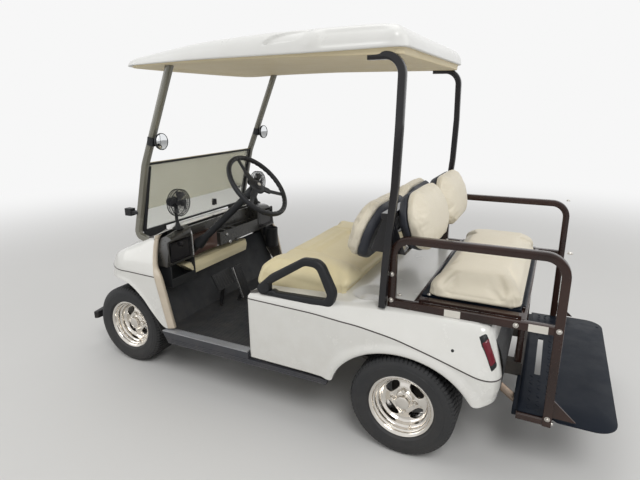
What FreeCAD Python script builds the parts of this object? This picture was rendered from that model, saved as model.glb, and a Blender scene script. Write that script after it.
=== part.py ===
import FreeCAD, Part
import math
import os

os.makedirs("parts", exist_ok=True)

doc = FreeCAD.newDocument("Cart")
sheet = doc.addObject("Spreadsheet::Sheet", "Sizes")
vector = FreeCAD.Vector
upright = FreeCAD.Rotation()
nodes = []


def written(value):
    """The expression of a length from the sheet, or a plain number as text."""
    return getattr(value, "text", "%.6f" % value)


class Length(float):
    """A number from the sheet that carries its expression through sums and products."""

    def __new__(cls, value, text):
        made = super().__new__(cls, value)
        made.text = text
        return made

    def __add__(self, other):
        return Length(float(self) + float(other), "(%s + %s)" % (self.text, written(other)))

    def __radd__(self, other):
        return Length(float(other) + float(self), "(%s + %s)" % (written(other), self.text))

    def __sub__(self, other):
        return Length(float(self) - float(other), "(%s - %s)" % (self.text, written(other)))

    def __rsub__(self, other):
        return Length(float(other) - float(self), "(%s - %s)" % (written(other), self.text))

    def __mul__(self, other):
        return Length(float(self) * float(other), "(%s * %s)" % (self.text, written(other)))

    __rmul__ = __mul__

    def __truediv__(self, other):
        return Length(float(self) / float(other), "(%s / %s)" % (self.text, written(other)))

    def __neg__(self):
        return Length(-float(self), "(0 - %s)" % self.text)


# Driving dimensions, in millimetres and degrees
def size(alias, value):
    row = len(sheet.getNonEmptyCells()) + 1
    sheet.set("A%d" % row, str(value))
    sheet.setAlias("A%d" % row, alias)
    return Length(value, "Sizes." + alias)


wheelBase = size("wheel_base", 1664)
frontReach = size("front_reach", 330)
rearReach = size("rear_reach", 800)
axleHeight = size("axle_height", 229.5)
tyreRadius = size("tyre_radius", 229.5)
tyreWidth = size("tyre_width", 205)
rimRadius = size("rim_radius", 128)
flangeRadius = size("flange_radius", 142)
rimWidth = size("rim_width", 178)
rimWall = size("rim_wall", 6)
dishDepth = size("dish_depth", 62)
hubRadius = size("hub_radius", 34)
spindleRadius = size("spindle_radius", 14)
runningGap = size("running_gap", 0.05)
frontTrack = size("front_track", 864)
rearTrack = size("rear_track", 1044)
kingpinInset = size("kingpin_inset", 87)
kingpinRadius = size("kingpin_radius", 11)
steeringArm = size("steering_arm", 80)
tieRodDrop = size("tie_rod_drop", 26)
tieRodRadius = size("tie_rod_radius", 8)
softGap = size("soft_gap", 0.3)
panelWall = size("panel_wall", 6)
bodyWidth = size("body_width", 1256)
floorHeight = size("floor_height", 285)
floorWall = size("floor_wall", 6)
matWall = size("mat_wall", 5)
railSpread = size("rail_spread", 400)
railWidth = size("rail_width", 50)
railDepth = size("rail_depth", 80)
rearRailDepth = size("rear_rail_depth", 62)
bumperDepth = size("bumper_depth", 42)
rockerHeight = size("rocker_height", 62)
rockerWall = size("rocker_wall", 24)
seatWidth = size("seat_width", 978)
seatDepth = size("seat_depth", 462)
seatHeight = size("seat_height", 612)
seatThickness = size("seat_thickness", 112)
roofHeight = size("roof_height", 1768)
roofRise = size("roof_rise", 118)
roofWidth = size("roof_width", 1110)
roofWall = size("roof_wall", 5)
linerWall = size("liner_wall", 8)
strutSpread = size("strut_spread", 480)
rearStrutSpread = size("rear_strut_spread", 545)
strutWidth = size("strut_width", 30)
cowlHeight = size("cowl_height", 806)
glassWall = size("glass_wall", 5)
glassHigh = size("glass_top_height", 1170)
foldLow = size("glass_fold_height", 918)
dashLow = size("dash_low_height", 640)
doorHigh = size("door_top_height", 770)
doorDepth = size("door_depth", 118)
steeringRadius = size("steering_wheel_radius", 178)
steeringGrip = size("steering_grip_radius", 13)
steeringHeight = size("steering_wheel_height", 1066)
steeringSpread = size("steering_spread", 280)
columnRadius = size("column_radius", 19)
backLean = size("back_lean", 18)
frontBackHeight = size("front_back_height", 250)
rearBackHeight = size("rear_back_height", 275)
barHigh = size("bar_height", 1040)
kitSpread = size("kit_spread", 520)
kitTube = size("kit_tube", 32)
kitHeight = size("kit_deck_height", 660)
kitRailHeight = size("kit_rail_height", 938)
plateHeight = size("plate_height", 292)
plateWall = size("plate_wall", 6)
rearSeatDepth = size("rear_seat_depth", 372)
rearSeatWidth = size("rear_seat_width", 880)
rearSeatThickness = size("rear_seat_thickness", 92)
fanRadius = size("fan_radius", 72)
fanHeight = size("fan_height", 960)
fanInset = size("fan_inset", 151)
mirrorRadius = size("mirror_radius", 42)
mirrorHeight = size("mirror_height", 1290)
doc.recompute()

designBase = 1664
deckHeight = kitHeight - kitTube / 2
rearAxle = rearReach - (rearReach + wheelBase + frontReach) / 2
frontAxle = rearAxle + wheelBase
liftRoof = roofHeight - roofRise


def fromRear(distance):
    """A station along the cart; stations keep their share of the wheelbase."""
    return rearAxle + wheelBase * (distance / designBase)


# Outlines: lines and tangent arcs through corners given as (x, y, radius)
def outlineEdges(corners):
    points = [(vector(c[0], c[1], 0), c[2] if len(c) > 2 else 0) for c in corners]
    joins = []
    for index, (point, radius) in enumerate(points):
        before = points[index - 1][0]
        after = points[(index + 1) % len(points)][0]
        if radius <= 0:
            joins.append((point, None, point))
            continue
        inward = (before - point).normalize()
        outward = (after - point).normalize()
        half = inward.getAngle(outward) / 2
        reach = radius / math.tan(half)
        bisector = (inward + outward).normalize()
        middle = point + bisector * (radius / math.sin(half) - radius)
        joins.append((point + inward * reach, middle, point + outward * reach))
    edges = []
    for index, (start, middle, end) in enumerate(joins):
        if middle is not None:
            edges.append(Part.Arc(start, middle, end))
        following = joins[(index + 1) % len(joins)][0]
        if (following - end).Length > 1e-6:
            edges.append(Part.LineSegment(end, following))
    return edges


# Objects of the document, with sizes and places bound to the sheet
def bind(made, name, value):
    made.setExpression(name, written(value))


def seat(made, x, y, z, turn=upright):
    made.Placement = FreeCAD.Placement(vector(x, y, z), turn)
    for axis, value in zip("xyz", (x, y, z)):
        bind(made, "Placement.Base." + axis, value)
    return made


def box(low, high):
    made = doc.addObject("Part::Box", "Block")
    for index, name in enumerate(("Length", "Width", "Height")):
        bind(made, name, high[index] - low[index])
    return seat(made, *low)


def cylinder(radius, start, end):
    way = vector(*end) - vector(*start)
    made = doc.addObject("Part::Cylinder", "Bar")
    bind(made, "Radius", radius)
    moved = [index for index in range(3) if abs(way[index]) > 1e-9]
    span = way.Length
    if len(moved) == 1:
        first, last = sorted((start[moved[0]], end[moved[0]]))
        span = last - first
    bind(made, "Height", span)
    return seat(made, *start, FreeCAD.Rotation(vector(0, 0, 1), way))


def torus(radius, grip, centre, way):
    made = doc.addObject("Part::Torus", "Ring")
    bind(made, "Radius1", radius)
    bind(made, "Radius2", grip)
    return seat(made, *centre, FreeCAD.Rotation(vector(0, 0, 1), way))


planeTurn = {"XY": upright, "XZ": FreeCAD.Rotation(vector(1, 0, 0), 90),
             "YZ": FreeCAD.Rotation(vector(1, 1, 1), 120)}
planeWay = {"XY": vector(0, 0, 1), "XZ": vector(0, 1, 0), "YZ": vector(1, 0, 0)}


def outline(corners, plane, offset):
    """A sketch on a plane that is moved along its normal."""
    drawn = doc.addObject("Sketcher::SketchObject", "Outline")
    drawn.addGeometry(outlineEdges(corners), False)
    base = [0 if axis in plane else offset for axis in "XYZ"]
    return seat(drawn, *base, planeTurn[plane])


def slab(corners, plane, low, high):
    """An outline carried straight along its plane's normal from low to high."""
    made = doc.addObject("Part::Extrusion", "Slab")
    made.Base = outline(corners, plane, low)
    made.DirMode = "Custom"
    made.Dir = planeWay[plane]
    made.Solid = True
    bind(made, "LengthFwd", high - low)
    return made


def loft(drawings):
    made = doc.addObject("Part::Loft", "Loft")
    made.Sections = drawings
    made.Solid = True
    made.Ruled = True
    return made


def join(pieces):
    if len(pieces) == 1:
        return pieces[0]
    made = doc.addObject("Part::MultiFuse", "Join")
    made.Shapes = pieces
    made.Refine = True
    return made


def cut(base, *tools):
    for tool in tools:
        made = doc.addObject("Part::Cut", "Cut")
        made.Base = base
        made.Tool = tool
        base = made
    return base


def common(base, *others):
    for other in others:
        made = doc.addObject("Part::Common", "Common")
        made.Base = base
        made.Tool = other
        base = made
    return base


def mirrored(piece):
    made = doc.addObject("Part::Mirroring", "Mirror")
    made.Source = piece
    made.Normal = vector(0, 1, 0)
    return made


def together(pieces):
    made = doc.addObject("Part::Compound", "Set")
    made.Links = pieces
    return made


def both(piece):
    """The left piece and its mirror image on the right, as two solids."""
    return together([piece, mirrored(piece)])


def node(label, piece):
    piece.Label = label
    nodes.append(piece)
    return piece


# Bars swept along bent paths
def roundedPath(points, bend):
    """A wire of straight runs with an arc of one bend radius at each inner point."""
    points = [vector(*p) for p in points]
    edges = []
    last = points[0]
    for index in range(1, len(points) - 1):
        inward = (points[index - 1] - points[index]).normalize()
        outward = (points[index + 1] - points[index]).normalize()
        half = inward.getAngle(outward) / 2
        reach = bend / math.tan(half)
        bisector = (inward + outward).normalize()
        start = points[index] + inward * reach
        end = points[index] + outward * reach
        middle = points[index] + bisector * (bend / math.sin(half) - bend)
        edges.append(Part.LineSegment(last, start).toShape())
        edges.append(Part.Arc(start, middle, end).toShape())
        last = end
    edges.append(Part.LineSegment(last, points[-1]).toShape())
    return Part.Wire(edges)


def swept(points, bend, section):
    made = doc.addObject("Part::Feature", "Tube")
    made.Shape = roundedPath(points, bend).makePipeShell([section], True, False)
    return made


def roundTube(points, radius, bend):
    start = vector(*points[0])
    return swept(points, bend, Part.Wire(Part.makeCircle(radius, start, vector(*points[1]) - start)))


def squareTube(points, width, depth, bend, across=(0, 1, 0)):
    """A bar of rectangular section along a bent path; width lies along across."""
    start = vector(*points[0])
    direction = (vector(*points[1]) - start).normalize()
    side = vector(*across)
    side = (side - direction * side.dot(direction)).normalize()
    other = direction.cross(side)
    corners = []
    for u, v in ((-1, -1), (1, -1), (1, 1), (-1, 1)):
        corners.append(start + side * (u * width / 2) + other * (v * depth / 2))
    return swept(points, bend, Part.makePolygon(corners + [corners[0]]))


# Sketch based bodies
def newBody(label):
    return node(label, doc.addObject("PartDesign::Body", label))


def sketchOn(body, role, corners, offset=0.0):
    origin = [item for item in body.Origin.OriginFeatures if item.Role == role][0]
    drawn = body.newObject("Sketcher::SketchObject", "Outline")
    drawn.AttachmentSupport = [(origin, "")]
    drawn.MapMode = "FlatFace"
    bind(drawn, "AttachmentOffset.Base.z", offset)
    drawn.addGeometry(outlineEdges(corners), False)
    return drawn


def pad(body, drawn, length):
    made = body.newObject("PartDesign::Pad", "Pad")
    made.Profile = drawn
    bind(made, "Length", length)
    return made


def pocket(body, drawn, length, reverse=False):
    made = body.newObject("PartDesign::Pocket", "Pocket")
    made.Profile = drawn
    bind(made, "Length", length)
    made.Reversed = reverse
    return made


def revolve(body, drawn):
    made = body.newObject("PartDesign::Revolution", "Revolution")
    made.Profile = drawn
    made.ReferenceAxis = (drawn, ["V_Axis"])
    made.Angle = 360
    return made


def polar(body, features, count):
    made = body.newObject("PartDesign::PolarPattern", "PolarPattern")
    made.Originals = features
    origin = [item for item in body.Origin.OriginFeatures if item.Role == "Y_Axis"][0]
    made.Axis = (origin, [""])
    made.Angle = 360
    made.Occurrences = count
    body.Tip = made
    return made


def profileBody(label, corners, low, high):
    """A side profile padded across the cart from low to high."""
    body = newBody(label)
    pad(body, sketchOn(body, "XZ_Plane", corners, -high), high - low)
    return body


def planBody(label, corners, low, high):
    """A plan outline padded upwards from low to high."""
    body = newBody(label)
    pad(body, sketchOn(body, "XY_Plane", corners, low), high - low)
    return body


# Wheels
def makeTyre(label, x, y):
    """Tyre section turned about the axle; its hollow is closed by the rim."""
    body = newBody(label)
    half = tyreWidth / 2
    bead = rimWidth / 2 - rimWall
    shoulder = flangeRadius + 14
    section = [
        (rimRadius, -bead, 0), (flangeRadius, -bead, 0), (shoulder, -half, 16),
        (tyreRadius - 14, -half + 6, 14), (tyreRadius, -half + 24, 12), (tyreRadius, half - 24, 12),
        (tyreRadius - 14, half - 6, 14), (shoulder, half, 16), (flangeRadius, bead, 0), (rimRadius, bead, 0),
        (rimRadius, bead - 14, 0), (shoulder, half - 15, 16), (tyreRadius - 26, half - 22, 14),
        (tyreRadius - 26, -half + 22, 14), (shoulder, -half + 15, 16), (rimRadius, -bead + 14, 0)]
    revolve(body, sketchOn(body, "XY_Plane", section))
    return seat(body, x, y, axleHeight)


def turnedRing(body, inner, outer, low, high):
    revolve(body, sketchOn(body, "XY_Plane", [(inner, low), (outer, low), (outer, high), (inner, high)]))


def makeRim(label, x, y, side):
    """Barrel, flanges, dished web with four kidney windows, hub and cap."""
    body = newBody(label)
    half = rimWidth / 2
    web = side * (half - dishDepth)
    inner = rimRadius - rimWall
    bore = spindleRadius + runningGap
    barrel = [
        (inner, -half + rimWall, 6), (flangeRadius, -half, 0), (flangeRadius, -half + rimWall, 0),
        (rimRadius, -half + rimWall, 0), (rimRadius, half - rimWall, 0),
        (flangeRadius, half - rimWall, 0), (flangeRadius, half, 0), (inner, half - rimWall, 6)]
    revolve(body, sketchOn(body, "XY_Plane", barrel))
    turnedRing(body, bore, inner + 1, *sorted((web, web - side * 8)))
    turnedRing(body, bore, hubRadius, *sorted((web - side * 60, web - side * 7)))
    capLow, capHigh = web - side * 1, web + side * 38
    cap = [(0, capLow), (32, capLow), (30, capHigh, 8), (0, capHigh)]
    revolve(body, sketchOn(body, "XY_Plane", cap if side > 0 else cap[::-1]))
    kidney = [(46, 58, 14), (92, 26, 14), (92, 78, 30), (58, 104, 14)]
    window = pocket(body, sketchOn(body, "XZ_Plane", kidney, -web - 30), 60, True)
    doc.recompute()
    polar(body, [window], 4)
    return seat(body, x, y, axleHeight)


# Wheels: name, distance along, side offset, side
frontY, rearY = frontTrack / 2, rearTrack / 2
wheels = [("front_left", frontAxle, frontY, 1), ("front_right", frontAxle, -frontY, -1),
          ("rear_left", rearAxle, rearY, 1), ("rear_right", rearAxle, -rearY, -1)]
for name, x, y, side in wheels:
    makeTyre("tyre_" + name, x, y)
    makeRim("rim_" + name, x, y, side)


# Chassis: front rails under the floor, rear rails stacked higher over the axle, cross members
railTop = floorHeight - floorWall
railLow = railTop - railDepth
railY = railSpread / 2
railOuter = railY + railWidth / 2
railFront = frontAxle + frontReach - bumperDepth
railRear = fromRear(-441)
rearRailTop = railTop + rearRailDepth
cowlHalf = bodyWidth / 2 - 30
halfFloor = cowlHalf - panelWall
axleSeat = axleHeight + 2
crossWidth = 40


def railPair(rear, front, low, high):
    return [box((rear, side * railY - railWidth / 2, low), (front, side * railY + railWidth / 2, high))
            for side in (1, -1)]


def crossMember(rear, low, high):
    return box((rear, -railY, low), (rear + crossWidth, railY, high))


rails = railPair(fromRear(300), railFront, railLow, railTop)
rails += railPair(railRear, fromRear(400), railTop, rearRailTop)
crosses = [crossMember(rear, railLow + 15, railTop - 15)
           for rear in (fromRear(330), fromRear(960), frontAxle - 160, railFront - crossWidth)]
crosses += [crossMember(rear, railTop + 10, rearRailTop - 10) for rear in (railRear, fromRear(-130))]
outriggers = [box((fromRear(station), -halfFloor, railTop - 30), (fromRear(station) + 30, halfFloor, railTop))
              for station in (800, 1200)]
beamNotch = box((frontAxle - 24, -railOuter - 35, railLow - 5), (frontAxle + 24, railOuter + 35, axleSeat))
node("frame", cut(join(rails + crosses + outriggers), beamNotch))


# Floor, toe board and mat
bodyFront = fromRear(762)
floorFront = fromRear(1345)
toeX, toeZ = fromRear(1462), 560
floorLine = [(bodyFront, railTop), (floorFront, railTop), (toeX + floorWall, toeZ), (toeX, toeZ),
             (floorFront - 3, floorHeight), (bodyFront, floorHeight)]
profileBody("floor_pan", floorLine, -halfFloor, halfFloor)
matEdge = halfFloor - 25
matLine = [(bodyFront + 8, floorHeight), (floorFront - 3, floorHeight), (toeX - 2, toeZ - 4),
           (toeX - 2 - matWall, toeZ - 4), (floorFront - 3 - matWall, floorHeight + matWall),
           (bodyFront + 8, floorHeight + matWall)]
profileBody("floor_mat", matLine, -matEdge, matEdge)


# Rockers: a grooved bar along each side under the door opening, with a light ledge on top
rockerOuter = halfFloor + rockerWall
rockerLow = railTop - 36
rockerTop = rockerLow + rockerHeight
bodyLow = floorHeight - 14
rockerLine = [(fromRear(346), rockerLow), (fromRear(1277), rockerLow), (fromRear(1312), rockerTop),
              (bodyFront + 2, rockerTop), (bodyFront + 2, bodyLow - 2), (fromRear(336), bodyLow - 2)]
rocker = slab(rockerLine, "XZ", halfFloor, rockerOuter)
for index in range(3):
    grooveLow = rockerLow + 8 + index * 9
    grooveEnd = (fromRear(1400), rockerOuter + 1, grooveLow + 4)
    rocker = cut(rocker, box((fromRear(300), rockerOuter - 3, grooveLow), grooveEnd))
node("rocker_panels", both(rocker))
ledge = box((bodyFront + 6, halfFloor - 16, rockerTop), (fromRear(1312), rockerOuter - 2, rockerTop + 6))
node("rocker_ledges", both(ledge))


# Rear body: a loft through cross sections, trimmed to plan and tail, then hollowed by the same forms moved in
bodyHalf = bodyWidth / 2
bodyTail = fromRear(-380)
bodyTop = seatHeight + 6
sectionTable = [  # station, side inset, crease height, shoulder inset and height, deck inset and height
    (782, 22, bodyTop - 29, 6, bodyTop - 12, 26, bodyTop + 2),
    (378, 14, bodyTop - 36, 12, bodyTop, 40, bodyTop + 18),
    (198, 0, bodyTop - 44, 40, bodyTop + 7, 85, deckHeight),
    (30, 0, deckHeight - 95, 45, deckHeight - 34, 90, deckHeight),
    (-129, 0, deckHeight - 138, 45, deckHeight - 54, 90, deckHeight),
    (-280, 0, deckHeight - 184, 40, deckHeight - 84, 90, deckHeight),
    (-390, 0, deckHeight - 206, 32, deckHeight - 86, 82, deckHeight)]


def rearSection(row, inset):
    station, side, crease, shoulderIn, shoulderHigh, deckIn, deckHigh = row
    half = bodyHalf - side - inset
    left = [(half, 0), (half, crease - inset / 2), (half - shoulderIn, shoulderHigh - inset),
            (half - deckIn, deckHigh - inset)]
    right = [(-y, z) for y, z in left[::-1]]
    return outline(left + right, "YZ", fromRear(station))


def rearHull(inset, low):
    tail = bodyTail + inset
    side = [(bodyFront - inset, low), (bodyFront - inset, 900), (tail + 120, 900), (tail + 71, deckHeight + 11),
            (tail + 15, deckHeight - 110, 60), (tail, deckHeight - 190, 60), (tail + 3, deckHeight - 264, 40),
            (tail + 42, low)]
    front, rear = bodyFront - inset, tail
    half = bodyHalf - inset
    corner = 100 - inset
    plan = [(front, -half), (rear, -half, corner), (rear, half, corner), (front, half)]
    stack = loft([rearSection(row, inset) for row in sectionTable])
    return common(stack, slab(side, "XZ", -bodyHalf - 10, bodyHalf + 10), slab(plan, "XY", -10, 900))


def archLine(rear, front, top, radius):
    return [(rear, -5), (rear, top, radius), (front, top, radius), (front, -5)]


rearOuterHull = rearHull(0, bodyLow)
rearInnerHull = rearHull(panelWall, -5)
archSpan, archTop, archCorner = 310, 486, 226
rearArch = archLine(rearAxle + 2 - archSpan, rearAxle + 2 + archSpan, archTop, archCorner)
wheelHole = slab(rearArch, "XZ", -bodyHalf - 20, bodyHalf + 20)
seatHole = box((fromRear(290), -430, 500), (fromRear(700), 430, 900))
kitHole = box((fromRear(-290), -460, 500), (fromRear(60), 460, 900))
sillHole = box((bodyFront - 2 * panelWall, -halfFloor, 0), (bodyFront + 10, halfFloor, railTop))
lampLine = [(fromRear(-322), 612), (fromRear(-346), 470), (fromRear(-400), 470), (fromRear(-400), 612)]
lampHole = slab(lampLine, "XZ", bodyHalf - 92, bodyHalf - 12)
railHoles = railPair(railRear - 10, fromRear(400), 0, rearRailTop)
node("rear_body", cut(rearOuterHull, rearInnerHull, seatHole, kitHole, wheelHole, sillHole, lampHole,
                      mirrored(lampHole), *railHoles))
lampBlank = slab(lampLine, "XZ", bodyHalf - 91.5, bodyHalf - 12.5)
node("tail_lamps", both(common(cut(rearHull(1, bodyLow), rearHull(3 * panelWall, bodyLow)), lampBlank)))


# Front bench: a rolled front and rounded corners in plan, resting on the sloping body top
seatFront = fromRear(787)
seatFoot = seatFront - seatDepth
bendX, bendZ = fromRear(378), bodyTop + 18 + softGap
frontSlope = (bendZ - bodyTop - 2 - softGap) / (fromRear(782) - bendX)
rearSlope = (deckHeight + softGap - bendZ) / (bendX - fromRear(198))
cushionTop = seatHeight + seatThickness
lipX = seatFront - 12


cushionLine = [(seatFoot, bendZ + (bendX - seatFoot) * rearSlope), (bendX, bendZ),
               (lipX, bendZ - (lipX - bendX) * frontSlope), (seatFront, seatHeight + 60, 50),
               (seatFront - 27, cushionTop, 44), (seatFront - 187, cushionTop - 6, 300),
               (seatFoot - 25, cushionTop - 20, 60), (seatFoot - 89, cushionTop - 16, 22)]
seatHalf = seatWidth / 2
seatPlan = [(seatFoot - 100, -seatHalf, 60), (seatFront + 1, -seatHalf, 60), (seatFront + 1, seatHalf, 60),
            (seatFoot - 100, seatHalf, 60)]
node("seat_cushion", common(slab(cushionLine, "XZ", -seatHalf, seatHalf), slab(seatPlan, "XY", 400, 1000)))


# Seat backs: shield shaped pads on shells that lean on the bars of the frame between the struts
backSpread = 262
shellWall, padWall = 40, 66
barWall, barDepth = 25, 48
barLow = barHigh - barWall
lowBar = barHigh - 160
lowBarWall = 12
frontFoot, rearFoot = barHigh - 226, barHigh - 180
uprightX, kitHalf = fromRear(79), kitTube / 2
strutX0 = uprightX + kitHalf + strutWidth / 2
leanCos = math.cos(math.radians(backLean))
leanTan = math.tan(math.radians(backLean))


def shield(height, foot):
    """Pad outline: narrow rounded foot, widest at mid height; foot is its height against the bar."""
    low = (foot - barHigh) / leanCos
    hip, waist, top = low + height * 0.15, low + height * 0.62, low + height
    return [(-120, low, 50), (-215, hip, 60), (-236, waist, 80), (-150, top, 80),
            (150, top, 80), (236, waist, 80), (215, hip, 60), (120, low, 50)]


def backPair(low, high, facing, height, foot):
    """Layers leaning against the upper bar; low and high count from the bar outwards."""
    panels = []
    about = FreeCAD.Rotation(vector(0, 0, 1), 0 if facing > 0 else 180)
    turn = about.multiply(FreeCAD.Rotation(vector(0, 1, 0), -backLean))
    for side in (1, -1):
        layer = slab(shield(height, foot), "YZ", low, high)
        panels.append(seat(layer, strutX0 + facing * barDepth / 2, side * backSpread, barHigh, turn))
    return together(panels)


padLow, padHigh = shellWall + softGap, shellWall + padWall
node("front_back_shells", backPair(0, shellWall, 1, frontBackHeight, frontFoot))
node("front_backs", backPair(padLow, padHigh, 1, frontBackHeight, frontFoot))
node("rear_back_shells", backPair(0, shellWall, -1, rearBackHeight, rearFoot))
node("rear_backs", backPair(padLow, padHigh, -1, rearBackHeight, rearFoot))


# Armrests: flat pointed loops on the body's side, cut to its top
armOuter = [(fromRear(748), bodyTop + 2), (fromRear(634), bodyTop + 104, 80),
            (fromRear(465), bodyTop + 204, 60), (fromRear(370), bodyTop + 208, 60),
            (fromRear(304), bodyTop + 62, 60), (fromRear(330), bodyTop - 20)]
armInner = [(fromRear(660), bodyTop + 40, 10), (fromRear(454), bodyTop + 171, 40),
            (fromRear(394), bodyTop + 170, 30), (fromRear(344), bodyTop + 58, 22),
            (fromRear(360), bodyTop + 30, 14)]
armLow, armHigh = bodyHalf - 68, bodyHalf - 30
armHole = slab(armInner, "XZ", armLow - 1, armHigh + 1)
armLoop = cut(slab(armOuter, "XZ", armLow, armHigh), armHole, rearOuterHull)
node("armrests", both(armLoop))


# Roof: rounded outlines lofted, trimmed to a crown that falls towards the nose, hollow below, with a flat liner
roofRear, roofFront, roofNose = fromRear(20), fromRear(1470), 26


def roofOutline(inset, z):
    rear, front, half = roofRear + inset, roofFront - inset, roofWidth / 2 - inset
    tip, bow = front + roofNose, half * 0.45
    rearCorner, frontCorner = 90 - inset / 3, 110 - inset / 3
    corners = [(rear, -half, rearCorner), (front, -half, frontCorner), (tip, -bow, 400),
               (tip, bow, 400), (front, half, frontCorner), (rear, half, rearCorner)]
    return outline(corners, "XY", z)


def roofSolid(inset, drop):
    rings = [(0, 0), (3, 42), (34, 92), (70, 103), (190, roofRise)]
    stack = loft([roofOutline(edge + inset, liftRoof + rise - (drop if rise else 0)) for edge, rise in rings])
    crown = [(-40, -26), (130, 0), (560, 0, 2000), (1010, -18, 900), (1230, -48, 900), (1530, -100)]
    line = [(fromRear(station), roofHeight - drop + fall, *radius) for station, fall, *radius in crown]
    line += [(fromRear(1530), liftRoof - 40), (fromRear(-40), liftRoof - 40)]
    return common(stack, slab(line, "XZ", -roofWidth, roofWidth))


node("roof", cut(roofSolid(0, 0), roofSolid(roofWall, roofWall)))
strutTop = liftRoof - linerWall
liner = doc.addObject("Part::Extrusion", "Liner")
liner.Base = roofOutline(3, strutTop)
liner.DirMode = "Custom"
liner.Dir = planeWay["XY"]
liner.Solid = True
bind(liner, "LengthFwd", linerWall)
node("roof_liner", liner)


# Roof struts
frontStrutPath = [(fromRear(1512), strutSpread, dashLow), (fromRear(1500), strutSpread, 800),
                  (fromRear(1430), strutSpread, glassHigh), (fromRear(1212), strutSpread - 10, strutTop + 40)]
topCut = box((fromRear(-200), -900, strutTop), (fromRear(1900), 900, strutTop + 400))
frontStrut = cut(squareTube(frontStrutPath, strutWidth, strutWidth, 120), topCut)
node("front_struts", both(frontStrut))
rearStrutPath = [(strutX0, rearStrutSpread, deckHeight), (strutX0, rearStrutSpread, 1540),
                 (fromRear(178), rearStrutSpread - 50, strutTop + 40)]
node("rear_struts", both(cut(squareTube(rearStrutPath, strutWidth, strutWidth, 90), topCut)))


# Frame that carries the backs between the rear struts: an upper bar and two lower bars on end plates
innerStrut = rearStrutSpread - strutWidth / 2
halfBar = barDepth / 2
footReach = halfBar + (barHigh - lowBar) * leanTan
barFoot = lowBar - lowBarWall
plateLine = [(strutX0 - halfBar, barLow), (strutX0 - footReach, barFoot), (strutX0 + footReach, barFoot),
             (strutX0 + halfBar, barLow)]
plateY = kitSpread - 15
endPlate = slab(plateLine, "XZ", plateY - 5, plateY)
upperBar = box((strutX0 - halfBar, -innerStrut, barLow), (strutX0 + halfBar, innerStrut, barHigh))
lowerBars = [box((strutX0 + footReach - 16, -plateY, barFoot), (strutX0 + footReach, plateY, lowBar)),
             box((strutX0 - footReach, -plateY, barFoot), (strutX0 - footReach + 16, plateY, lowBar))]
node("back_frame", join([upperBar, endPlate, mirrored(endPlate)] + lowerBars))


# Front cowl: plan outlines lofted upwards, trimmed by the hood line; hollow, open behind, arched at the wheels
noseX = fromRear(1905)
cowlRear = fromRear(1200)
cowlLevels = [(20, 0), (588, 0), (640, 14), (690, 40), (780, 80), (cowlHeight + 4, 108)]


def cowlOutline(inset, z):
    nose, half = noseX - inset, cowlHalf - inset
    corners = [(cowlRear, -half), (nose - 169, -half, 190 - inset / 2), (nose, -half + 320, 800 - inset),
               (nose, half - 320, 800 - inset), (nose - 169, half, 190 - inset / 2), (cowlRear, half)]
    return outline(corners, "XY", z)


def frontHull(inset):
    low = railTop - 17 if inset == 0 else 0
    hood = [(fromRear(1400), cowlHeight - inset), (fromRear(1560), cowlHeight - 16 - inset, 300),
            (noseX - 108 - inset, cowlHeight - 90 - inset, 120), (noseX - 14 - inset, 640 - inset, 60),
            (noseX + 2 - inset, 560, 60), (noseX + 2 - inset, low)]
    behind = [(fromRear(1300), low), (fromRear(1312), 322), (fromRear(1336), 588),
              (fromRear(1352), cowlHeight - 10)]
    if inset:
        behind = [(cowlRear + 1, low), (cowlRear + 1, cowlHeight - inset)]
    stack = loft([cowlOutline(edge + inset, z - (inset if z > 588 else 0)) for z, edge in cowlLevels])
    return common(stack, slab(behind + hood, "XZ", -bodyHalf, bodyHalf))


archHigh = 556
archInner = railOuter + 20
archRear, archFront = frontAxle - 264, frontAxle + 166
sideArchLine = [(archRear, -5), (archRear, archHigh, 220), (archFront, archHigh), (archFront, -5)]
sideArch = slab(sideArchLine, "XZ", archInner, bodyHalf)
frontArchLine = [(archInner - 60, -5), (archInner, 320, 120), (cowlHalf - 255, 450, 200),
                 (cowlHalf - 154, archHigh - 8), (bodyHalf, archHigh - 8), (bodyHalf, -5)]
frontArch = slab(frontArchLine, "YZ", frontAxle + 130, noseX + 20)
dashFront = fromRear(1385)
dashHalf = cowlHalf - 62
cabin = box((fromRear(1000), -dashHalf, 200), (dashFront, dashHalf, 900))
lampSpread, lampHalf, headLow, headHigh, lampFit = 300, 70, 470, 535, 0.3


def lampBlock(shrink):
    left, right = lampSpread - lampHalf + shrink, lampSpread + lampHalf - shrink
    corners = [(left, headLow + shrink, 12), (right, headLow + shrink, 12), (right, headHigh - shrink, 12),
               (left, headHigh - shrink, 12)]
    return slab(corners, "YZ", frontAxle + 140, noseX + 20)


headHole = lampBlock(0)
noseRails = railPair(frontAxle, railFront, railLow, railTop)
cowlTools = [sideArch, mirrored(sideArch), frontArch, mirrored(frontArch), cabin, both(frontStrut),
             both(rocker), both(ledge), headHole, mirrored(headHole)] + noseRails
node("front_cowl", cut(frontHull(0), frontHull(panelWall), *cowlTools))
node("headlamps", both(common(cut(frontHull(1), frontHull(4 * panelWall)), lampBlock(lampFit))))
bumperFront = frontAxle + frontReach
bumperLine = [(railFront, -500), (bumperFront - 18, -520, 8), (bumperFront, -430, 80), (bumperFront, 430, 80),
              (bumperFront - 18, 520, 8), (railFront, 500)]
planBody("front_bumper", bumperLine, railLow + 6, railTop - 29.5)


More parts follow.
